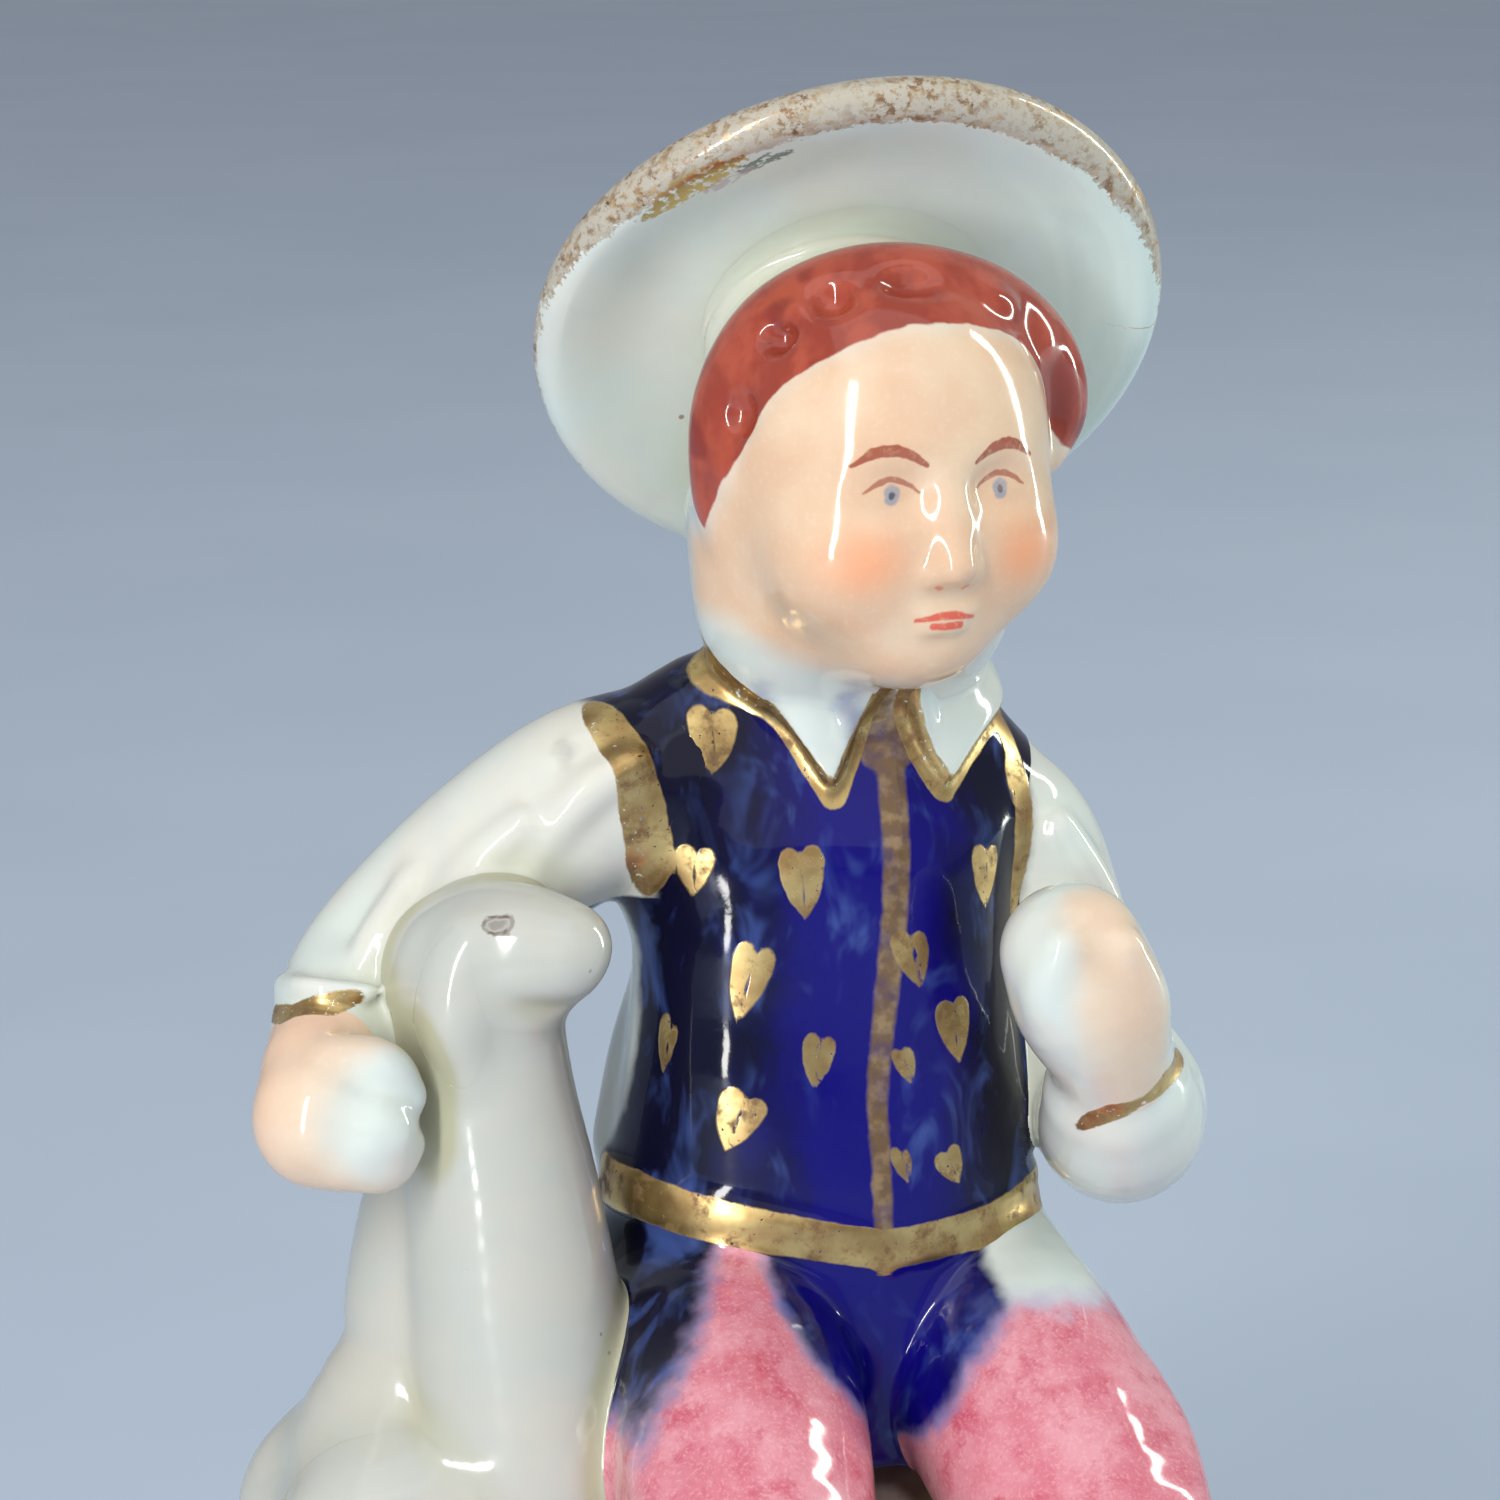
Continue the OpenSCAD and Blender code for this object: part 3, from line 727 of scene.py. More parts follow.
def face(u, v, w):
    """From the head's own right, forward and up to the figure's axes."""
    return (HEAD_AT[0] + u * math.cos(TURN) + v * math.sin(TURN),
            HEAD_AT[1] + u * math.sin(TURN) - v * math.cos(TURN), HEAD_AT[2] + w)


def at_head(p):
    """A point in the head's own right, forward and up."""
    x, y = p[:, 0] - HEAD_AT[0], p[:, 1] - HEAD_AT[1]
    return x * math.cos(TURN) + y * math.sin(TURN), x * math.sin(TURN) - y * math.cos(TURN), p[:, 2] - HEAD_AT[2]


def both(u, v, w, r, k, cut=False, turn=(0, 0, 0)):
    return [ball(face(s * u, v, w), r, k, cut, (turn[0], s * turn[1], s * turn[2])) for s in (-1, 1)]


NECK = [
    tube([[3.1, 4.4, 84, 5.2], [3.1, 4.8, 80, 4.7], [3.1, 5.2, 77.4, 3.6]], 2.0),
    tube([[-0.6, 9.6, 86.4, 3.2], [-0.1, 8.8, 83.4, 3.1], [0.9, 7.4, 79.6, 3.2]], 2.6),
    tube([[8.0, 8.6, 86.4, 3.2], [7.2, 7.8, 83, 3.2], [6.2, 6.8, 79.6, 3.1]], 2.6),
]
HEAD = [
    ball(face(0, 0, 2.3), (8.3, 8.8, 8.4), 1),
    ball(face(0, 1.6, -2.2), (7.0, 7.2, 7.6), 3),
    ball(face(0, 4.3, -7.2), (3.0, 2.9, 2.4), 2.5),
    *NECK,
    tube([[-0.6, 3.5, 86.0, 4.6], [-0.7, 3.1, 83.0, 4.4], [-0.2, 3.6, 80.4, 3.6]], 3.8),
    tube([[6.8, 2.8, 85.0, 4.0], [6.6, 2.4, 82.2, 3.8], [6.0, 3.2, 80.0, 3.0]], 2.6),
    ball((4.2, 7.4, 93.9), (6.8, 5.6, 6.2), 2),
    *both(3.9, 5.0, -3.3, (3.0, 2.6, 2.9), 2.5),
    *both(2.9, 9.7, 0.35, (2.2, 1.7, 1.25), 1.3, cut=True),
    *both(2.9, 6.95, 0.15, (1.5, 1.25, 0.9), 0.5),
    tube([[*face(0, 7.9, 1.0), 0.8], [*face(0, 8.7, -1.3), 0.85], [*face(0, 9.35, -3.2), 1.0]], 1.0),
    *both(0.85, 8.5, -3.6, 0.72, 0.6),
    ball(face(0, 8.0, -5.55), (1.7, 0.75, 0.42), 0.45),
    ball(face(0, 7.8, -6.45), (1.35, 0.8, 0.5), 0.45),
    ball(face(0, 8.6, -7.3), (1.6, 0.7, 0.4), 0.8, cut=True),
    # the roll of hair that frames the face, with its soft lumps
    tube([[-4.0, 0.6, 87.0, 1.1], [-4.2, 1.2, 89.6, 1.9], [-3.6, 1.3, 93.0, 2.4], [-1.6, 0.9, 96.2, 2.6],
          [1.4, 0.0, 98.1, 2.4], [4.8, -0.3, 98.4, 2.3], [8.4, 0.3, 97.2, 2.4], [11.3, 1.4, 94.8, 2.4],
          [12.5, 1.8, 92.2, 2.0], [11.8, 0.8, 90.2, 1.3]], 1.2, steps=5),
    ball((-2.9, -0.6, 94.2), (1.7, 1.2, 1.5), 0.8), ball((-0.6, -1.9, 97.3), (1.9, 1.2, 1.2), 0.8),
    ball((7.4, -2.0, 97.7), (1.9, 1.2, 1.1), 0.8), ball((-4.6, -0.6, 90.4), (1.0, 1.0, 1.6), 0.8),
    ball((10.4, -0.4, 95.6), (1.3, 1.2, 1.4), 0.8),
    ball((-2.7, -2.1, 96.6), (0.9, 0.8, 0.7), 0.9, cut=True), ball((-0.4, -2.8, 98.4), (0.9, 0.9, 0.7), 0.9, cut=True),
    ball((-4.6, -1.8, 93.0), (0.7, 0.8, 0.9), 0.9, cut=True), ball((3.4, -3.2, 99.2), (1.2, 0.8, 0.6), 1.0, cut=True),
]
# degrees round the head and height; the painter's outlines use millimetres round the head
HAIRLINE = [(-95, -2.5), (-75, 1.5), (-55, 5.5), (-10, 8), (45, 7), (70, 4), (78, 1)]
ROUND = math.radians(7.5)
LINE = [*spline([(a * ROUND, w) for a, w in HAIRLINE], 4)]
SKIN_LINE = [*LINE, (14, -0.5), (14, -16), (-15.5, -16), (-15.5, -3.4)]
HAIR_LINE = [*LINE, (11.2, 0.4), (18, 4), (18, 16), (-18, 16), (-18, 4), (-14.4, 0.4)]


def head_marks(p):
    u, v, w = at_head(p)
    around = np.degrees(np.arctan2(u, v)) * ROUND
    throat = line_through(u, [(-9, -6.4), (-6, -8.2), (-3, -9.4), (0, -10.0), (3, -9.8), (6, -8.2), (9, -6)])
    skin = np.maximum.reduce([inside(around, w, SKIN_LINE), 0.6 * (-3.6 - v), throat - w])
    hair = np.maximum(inside(around, w, HAIR_LINE), 0.8 * (-2.0 - v))
    below = (p[:, 1] > -2.5) | (p[:, 2] < 79.4)
    return {"skin": skin, "hair": hair, "gold": np.where(below, trim_marks(p), FAR),
            "placket": np.where(below, knot_mark(p), FAR), "blue": collar_wash(p)}


def collar_shape(table):
    """A thin turned-down collar lying on the trunk, the neck and the shoulders."""
    def shape(near, grid):
        under = grid.filled()
        for solid in TORSO + NECK:
            solid.onto(under, grid)
        x, y, z = grid.axes()
        turn = round_angle(x, y, COLLAR_AXIS)
        low = line_through(turn, table)
        edge = (low - z) * 0.72
        top = np.minimum(low + 6.0, 82.4)
        thick = (0.85 + 0.2 * grain(x, y, z, 3.4, 8)) * np.clip((top - z) / 3.5, 0, 1) - 0.02
        shell = smax(under - thick, -(under + 0.1), 0.3)
        return smax(smax(shell, edge, 0.7), z - top, 0.6)
    return shape


def collar_wash(p):
    """Thin blue that ran onto the collar beside the knot and at the right point."""
    flat = p * (1, 0.3, 1)
    bleed = stroke(flat, [(1.3, 0, 78.4, 0.6), (1.9, 0, 76.0, 0.5)])
    wash = stroke(flat, [(-2.9, 0, 79.0, 0.3), (-1.9, 0, 76.6, 0.4)])
    return np.minimum(bleed, wash)


def collar_marks(p):
    edge = np.minimum(collar_edge(p, COLLAR_R), collar_edge(p, COLLAR_L))
    return {"gold": np.abs(edge + 0.05) - 0.34, "placket": knot_mark(p), "blue": collar_wash(p)}


Piece("collar_right", [], (-1.0, 4.0, 72.9), k=0.35, step=FINE, shape=collar_shape(COLLAR_R),
      box=((-7, -4, 73), (5, 13, 82)), painter=collar_marks)
Piece("collar_left", [], (7.4, 4.0, 72.7), k=0.35, step=FINE, shape=collar_shape(COLLAR_L),
      box=((1, -4, 72.5), (13, 13, 82)), painter=collar_marks)
Piece("head", HEAD, (4.1, 1.4, 78.0), k=0.35, step=FINE, painter=head_marks, zero=HEAD_AT)

# ---------------------------------------------------------------- hat

HAT_AT = np.array((4.6, 10.7, 97.6))
HAT_UP = np.array((0.0846, 0.8046, 0.5878))
HAT_UP /= np.linalg.norm(HAT_UP)
HAT_SIDE = np.cross((0, 0, 1), HAT_UP)
HAT_SIDE /= np.linalg.norm(HAT_SIDE)
HAT_OVER = np.cross(HAT_UP, HAT_SIDE)
CROWN_R = 7.6


def hat_axes(x, y, z):
    x, y, z = x - HAT_AT[0], y - HAT_AT[1], z - HAT_AT[2]
    return tuple(x * a[0] + y * a[1] + z * a[2] for a in (HAT_SIDE, HAT_OVER, HAT_UP))


def turned(profile, k):
    """A form turned round the hat's axis from (radius, height, half thickness) rows."""
    rows = spline(profile, 4)

    def dist(x, y, z):
        side, over, up = hat_axes(x, y, z)
        r = np.hypot(side, over)
        angle = np.arctan2(over, side)
        up = up - 0.035 * np.clip(r - 7, 0, 20) * np.cos(2 * angle + 0.6) - 0.02 * np.clip(r - 7, 0, 20) * np.cos(3 * angle)
        best = np.full(r.shape, FAR, np.float32)
        for a, b in zip(rows[:-1], rows[1:]):
            run = b[:2] - a[:2]
            t = np.clip(((r - a[0]) * run[0] + (up - a[1]) * run[1]) / max(run @ run, 1e-6), 0, 1)
            d = np.hypot(r - a[0] - t * run[0], up - a[1] - t * run[1]) - (a[2] + t * (b[2] - a[2]))
            best = np.minimum(best, d)
        return best
    reach = rows[:, 0].max() + 1.2
    span = np.sqrt(1 - HAT_UP ** 2) * reach + np.abs(HAT_UP) * 6
    return Solid([(HAT_AT - span, HAT_AT + span, dist)], k)


def hat_marks(p):
    side, over, up = hat_axes(*p.T)
    r = np.hypot(side, over)
    angle = np.degrees(np.arctan2(over, side))
    return {"rim": r, "angle": angle, "under": up}


CROWN = [turned([(0, 2.1, 4.2), (4, 1.9, 4.1), (CROWN_R, 0.7, 2.9)], 1.0)]
BRIM = [turned([(CROWN_R, 0.7, 2.9), (9.6, 0.0, 2.5), (12, -1.2, 1.9), (14.0, -2.5, 1.4), (14.85, -3.0, 1.15)], 1.0)]
Piece("hat_crown", CROWN, (4.8, 12.5, 91.7), k=2.0, step=FINE, painter=hat_marks)
Piece("hat_brim", BRIM, (4.3, 8.2, 82.7), k=2.0, step=FINE, painter=hat_marks)

# ---------------------------------------------------------------- arms

RIGHT_SLEEVE = [
    tube([[-5.8, 6.2, 74, 4.5], [-9.8, 6.6, 72.8, 4.8], [-13.9, 7.4, 70.1, 4.7], [-18, 8.4, 66.7, 4.3],
          [-20.9, 8, 64.3, 3.9], [-22.7, 6, 63, 3.5], [-23.8, 4, 61.8, 3.2]], 1.5),
    tube([[-9.0, 2.2, 75.4, 0.9], [-11.8, 2.4, 73.6, 1.1], [-14.0, 3.2, 70.6, 0.7]], 0.9),
    tube([[-14.4, 3.0, 72.6, 0.8], [-17.0, 3.9, 70.0, 1.0], [-18.8, 4.6, 66.8, 0.6]], 0.9),
    tube([[-19.4, 5.4, 69.6, 0.7], [-21.6, 4.4, 67.0, 0.9], [-22.6, 3.8, 64.8, 0.6]], 0.8),
    tube([[-25.8, 6.2, 64.6, 0.5], [-25.2, 3.0, 65.2, 0.6], [-22.6, 1.9, 65.0, 0.5]], 0.7),
]
LEFT_SLEEVE = [
    tube([[10.8, 6.2, 71.6, 3.7], [13, 5.8, 69, 3.9], [14.6, 5, 64.5, 3.7], [15.8, 3.6, 59.5, 3.9],
          [16.4, 1.2, 55.8, 4.3], [15.2, -2.6, 56.6, 4.2], [14.2, -4.6, 58.4, 3.8]], 1.5),
    tube([[13.6, 2.0, 70.6, 0.7], [15.8, 1.8, 67.0, 0.8], [17.4, 2.2, 63.0, 0.6]], 1.5),
    tube([[17.8, -0.6, 60.6, 0.7], [19.4, -0.6, 57.4, 0.8], [18.6, -1.0, 54.2, 0.6]], 1.4),
]
RIGHT_HAND = [
    tube([[-24, 3.8, 62.0, 2.7], [-25.0, 1.8, 61.2, 2.9], [-25.4, 0.0, 60.0, 3.0]], 1.0),
    ball((-25.5, -0.6, 59.4), (3.3, 3.0, 3.3), 1.0),
    tube([[-24.6, -0.6, 62.2, 1.5], [-22.8, -1.4, 62.0, 1.5], [-21.6, -1.6, 60.6, 1.1]], 0.6),
    ball((-23.4, -2.2, 59.2), (2.2, 2.0, 2.2), 0.6),
    tube([[-24.6, -2.0, 57.8, 1.5], [-22.8, -2.2, 57.4, 1.3], [-21.6, -1.6, 58.2, 1.0]], 0.8),
]
LEFT_HAND = [
    tube([[14, -5, 59, 2.9], [12.8, -6.6, 61.6, 3.2], [11.4, -7.4, 64.4, 3.8], [10.6, -7.4, 66.4, 3.5]], 1.0),
    ball((10.3, -7.6, 66.9), (3.1, 2.9, 2.9), 1.0),
    tube([[12.2, -10.4, 67.4, 0.9], [13.6, -9.6, 64.6, 1.0], [13.9, -8.8, 62.4, 0.8]], 0.9),
    tube([[9.0, -10.0, 67.6, 0.9], [8.4, -9.2, 65.2, 1.0], [9.2, -8.6, 63.2, 0.8]], 0.9),
]


RIGHT_CUFF = [(-26.6, 5.4, 63.4, 0.45), (-26.2, 3.0, 63.8, 0.6), (-24.4, 1.7, 64.6, 0.6), (-22.4, 2.0, 65.0, 0.3)]
LEFT_CUFF = [(10.6, -6.6, 57.2, 0.3), (12.4, -8.2, 58.6, 0.55), (15.0, -8.4, 60.0, 0.6), (17.0, -6.4, 60.8, 0.5)]


def right_arm_marks(p):
    run = stroke(p, [(-11.2, 5.4, 76.2, 0.4), (-11.6, 4.2, 75.4, 0.6), (-11.6, 3.2, 74.4, 0.4), (-11.2, 2.6, 73.0, 0.1)])
    blue = np.where(p[:, 0] > -14, np.minimum(side_limit(p), run), FAR)
    return {"gold": np.minimum(armholes(p)[0], stroke(p, RIGHT_CUFF)), "blue": blue}


def left_arm_marks(p):
    left = armholes(p)[1]
    return {"gold": np.minimum(left, stroke(p, LEFT_CUFF)), "blue": left + 0.1}


def right_hand_marks(p):
    x, y, z = p.T
    # painted highlight: inside this oval on the front of the hand the glaze stays white, outside it takes the skin
    # colour
    painted_highlight = np.hypot(np.hypot((x + 22.0) / 1.3, y + 3.4), (z - 60.0) / 1.1) - 3.3
    return {"skin": -painted_highlight, "gold": stroke(p, RIGHT_CUFF)}


def left_hand_marks(p):
    bare = stroke(p, [(13.4, -8.4, 60.4, 1.9), (11.8, -10.6, 64.4, 2.4), (11.3, -9.8, 68.6, 2.3)])
    return {"skin": bare, "gold": stroke(p, LEFT_CUFF)}


Piece("right_sleeve", RIGHT_SLEEVE, (-16.6, 6.7, 58.7), k=0.8, painter=right_arm_marks)
Piece("left_sleeve", LEFT_SLEEVE, (15.3, 0.7, 51.6), k=0.8, painter=left_arm_marks)
Piece("right_hand", RIGHT_HAND, (-24.0, -0.2, 55.7), k=0.5, painter=right_hand_marks)
Piece("left_hand", LEFT_HAND, (11.7, -7.2, 58.4), k=0.5, painter=left_hand_marks)

# ---------------------------------------------------------------- legs

HIP_R, KNEE_R, ANKLE_R = (np.array(c) for c in ((-4.2, 3.2, 46.2), (-7.4, -13.5, 35.5), (-7.6, -12.8, 13.6)))
HIP_L, KNEE_L, ANKLE_L = (np.array(c) for c in ((9.4, 3.4, 45.6), (11.5, -12.5, 34.5), (12.4, -11.8, 13.6)))


def thigh(hip, knee, side):
    """Full breeches gathered under the knee into a band."""
    line = [[*(hip + (0, 0, -0.2)), 6.0], [*(hip * 0.66 + knee * 0.34 + (0, 0, 0.6)), 6.5],
            [*(hip * 0.33 + knee * 0.67 + (0, 0, 0.8)), 6.3], [*knee, 5.6], [*(knee + (0, 0.4, -4.6)), 4.9]]
    folds = []
    for i, (du, dv) in enumerate(((-3.4, 0.4), (0.2, -1.0), (3.6, 0.2))):
        top = knee + (du, dv - 3.6, 1.6)
        folds.append(tube([[*top, 0.5], [*(knee + (du * 1.1, dv - 4.2, -2.0)), 0.9],
                           [*(knee + (du * 0.9, dv - 3.2, -6.0)), 0.6]], 1.4))
    ring = [[knee[0] + 4.0 * math.cos(a), knee[1] + 0.8 + 3.8 * math.sin(a), knee[2] - 8.4, 1.0]
            for a in np.linspace(0, 2 * math.pi, 9)]
    drag = tube([[*(hip * 0.5 + knee * 0.5 + (side * 4.8, -1, 3.0)), 0.6],
                 [*(hip * 0.3 + knee * 0.7 + (side * 4.6, -1, 3.6)), 0.9], [*(knee + (side * 3.0, -1.4, 4.6)), 0.6]], 2.0)
    return [tube(line, 1.5), *folds, tube(ring, 0.8, steps=2), drag]


def calf(knee, ankle):
    return [tube([[*(knee + (0, 0.4, -5)), 3.6], [*(knee * 0.62 + ankle * 0.38 + (0, 1, 0)), 3.7],
                  [*(knee * 0.3 + ankle * 0.7 + (0, 0.6, 0)), 2.9], [*ankle, 2.5], [*(ankle + (0, -0.4, -2)), 2.6]], 1.2)]


def shoe(ankle, out):
    """A low black shoe: toe, instep, collar, bow, heel and a thin sole."""
    a = ankle
    return [
        tube([[a[0], a[1] + 0.8, a[2] - 2.0, 2.9], [a[0] + out * 0.4, a[1] - 2.2, a[2] - 2.9, 2.7],
              [a[0] + out, a[1] - 5, a[2] - 3.2, 2.3]], 1.2),
        ball((a[0] + out, a[1] - 4.8, a[2] - 4.0), (3.1, 3.2, 1.3), 0.8),
        ball((a[0], a[1] + 1.2, a[2] - 3.9), (2.8, 2.6, 1.4), 0.6),
        ball((a[0] + out * 0.5, a[1] - 2.9, a[2] - 0.6), (0.7, 0.7, 0.6), 0.3),
        ball((a[0] + out * 0.5 - 1.5, a[1] - 2.7, a[2] - 0.7), (1.2, 0.6, 0.8), 0.3, turn=(0, 20, 0)),
        ball((a[0] + out * 0.5 + 1.5, a[1] - 2.7, a[2] - 0.7), (1.2, 0.6, 0.8), 0.3, turn=(0, -20, 0)),
        tube([[a[0] + 2.6 * math.cos(t), a[1] + 0.4 + 2.6 * math.sin(t), a[2] - 0.6, 0.45]
              for t in np.linspace(0, 2 * math.pi, 9)], 0.4, steps=2),
    ]


def knee_band(p, knee):
    at = np.hypot(p[:, 0] - knee[0], p[:, 1] - knee[1] - 0.8)
    return np.where(at < 8, np.abs(p[:, 2] - (knee[2] - 8.4)) - 0.55, FAR)


def right_leg_marks(p):
    x, y, z = p.T
    rim = line_through(z, [(30, 20), (38, 6), (40, 3.4), (44, -0.1), (47, -2.8), (49.2, -3.7), (50.6, -3.4), (54, -2.6)])
    hip = (x + 5.6) * -0.74 + (z - 51.0) * 0.67
    rose = np.maximum(np.maximum((x - rim) * 0.8, hip), 0.8 * (y - 5))
    return {"rose": rose, "gold": knee_band(p, KNEE_R), "white": np.full(len(p), FAR)}


def left_leg_marks(p):
    x, y, z = p.T
    rim = line_through(x, [(0, 36), (3.6, 40.5), (4.1, 42.1), (5.7, 45.2), (7.8, 47.4), (9, 48.2), (12, 47.9), (18, 46.5)])
    rose = np.maximum((z - rim) * 0.72, 0.8 * (y - 5))
    white = np.maximum(8.4 - x, 47.0 - z)
    return {"rose": rose, "gold": knee_band(p, KNEE_L), "white": white}


Piece("right_breeches", thigh(HIP_R, KNEE_R, -1), (-5.9, -6.3, 25.4), k=1.0, painter=right_leg_marks)
Piece("left_breeches", thigh(HIP_L, KNEE_L, 1), (10.4, -5.1, 24.4), k=1.0, painter=left_leg_marks)
Piece("right_calf", calf(KNEE_R, ANKLE_R), (-7.5, -12.2, 11.8), k=0.5)
Piece("left_calf", calf(KNEE_L, ANKLE_L), (11.9, -11.2, 11.8), k=0.5)
Piece("right_shoe", shoe(ANKLE_R, -1), (-8.2, -14.9, 8.6), k=0.4)
Piece("left_shoe", shoe(ANKLE_L, 1), (13.0, -14.2, 8.6), k=0.4)

# ---------------------------------------------------------------- dog

LEDGE = 27.0


def ear(s):
    return [tube([[-17.5 - 0.6 * s, 1.8 - 2.6 * s, 68.0, 1.0], [-18.2 - 0.7 * s, 1.6 - 2.7 * s, 66.2, 1.4],
                  [-18.5 - 0.5 * s, 1.5 - 2.6 * s, 63.8, 1.5], [-18.1 - 0.2 * s, 1.6 - 2.4 * s, 61.2, 1.0]], 1.2)]


def foreleg(s):
    return [tube([[-13.2, 2.2 - 1.6 * s, 40, 3.4], [-12, 2.4 - 2.6 * s, 33, 2.7], [-11.8, 2.4 - 3 * s, 28.6, 2.0],
                  [-10.4, 2.4 - 3.2 * s, 27.6, 1.8]], 1.5),
            ball((-9.8, 2.4 - 3.2 * s, 27.4), (1.9, 1.9, 1.5), 0.8),
            tube([[-8.2, 2.4 - 3.8 * s, 28.4, 0.25], [-8.0, 2.4 - 3.8 * s, 26.6, 0.25]], 0.4, cut=True),
            tube([[-8.2, 2.4 - 2.6 * s, 28.4, 0.25], [-8.0, 2.4 - 2.6 * s, 26.6, 0.25]], 0.4, cut=True)]


def haunch(s):
    return [ball((-20.8, 4.6 - 4.0 * s, 36.2), (7.2, 4.6, 6.4), 1.5), ball((-20.2, 4.6 - 4.8 * s, 31), (5.4, 3.6, 4.8), 2),
            tube([[-18.4, 4.6 - 5.6 * s, 28.4, 2.3], [-15.4, 4.6 - 5.8 * s, 27.6, 1.9]], 1.2)]


DOG_BODY = [
    tube([[-16.9, 2, 64, 4.0], [-16.5, 2.2, 59, 4.4], [-15.9, 2.0, 54, 4.9], [-15.2, 1.8, 47, 5.5], [-14.3, 1.6, 40, 5.9],
          [-14.0, 1.8, 34, 5.6]], 2),
    tube([[-17.9, 4.8, 56, 3.4], [-18.4, 5.2, 52, 3.9], [-18.8, 5.4, 48, 4.2], [-19.0, 5.4, 44.8, 4.3],
          [-20.6, 5.2, 39, 5.8], [-21.6, 5.0, 32, 6.6]], 0.45),
]
DOG_HEAD = [
    tube([[-17.5, 1.8, 65.7, 3.8], [-16.4, 1.0, 66.3, 3.9], [-15.1, -0.2, 66.8, 3.4], [-14.1, -1.2, 67.0, 2.7]], 1.2),
    ball((-13.4, -1.5, 67.5), (2.1, 2.1, 1.9), 0.8),
    ball((-14.6, -3.4, 64.4), (2.4, 1.1, 0.5), 1.0, cut=True, turn=(0, 12, 0)),
]
EYE_AT = (-17.1, -2.4, 69.0)


def dog_marks(p):
    x, y, z = p.T
    eye = np.hypot(np.hypot((x - EYE_AT[0]) / 1.35, (y - EYE_AT[1]) / 1.35), z - EYE_AT[2])
    blush = stroke(p, [(-13.6, -2.6, 62.4, 0.8), (-12.6, -1.6, 59.8, 0.6), (-10.8, -1.0, 42, 0.6), (-10.4, -2.0, 34, 1.5)])
    return {"eye": eye, "blush": blush}


Piece("dog_body", DOG_BODY, (-18.0, 4.4, 26.4), k=0.9, painter=dog_marks)
Piece("dog_head", DOG_HEAD, (-15.7, 1.0, 62.4), k=1.6, painter=dog_marks)
Piece("dog_right_ear", ear(1), (-19.1, -2.0, 59.8), k=1.2, painter=dog_marks)
Piece("dog_left_ear", ear(-1), (-14.0, 5.1, 61.1), k=1.2, painter=dog_marks)
Piece("dog_right_foreleg", foreleg(1), (-11.5, -0.5, 25.6), k=2.6, painter=dog_marks)
Piece("dog_left_foreleg", foreleg(-1), (-12.4, 5.2, 30.6), k=2.6, painter=dog_marks)
Piece("dog_right_haunch", haunch(1), (-20.1, -0.7, 25.3), k=2.4, painter=dog_marks)
Piece("dog_left_haunch", haunch(-1), (-21.2, 9.9, 30.4), k=1.6, painter=dog_marks)
Piece("dog_tail", [tube([[-25, 8.8, 30, 1.8], [-24.6, 12, 29.6, 1.7], [-21.4, 14, 30.6, 1.6], [-17.6, 14.4, 32.2, 1.2]], 1.0)],
      (-21.6, 11.5, 28.0), k=0.9, painter=dog_marks)


# ---------------------------------------------------------------- materials

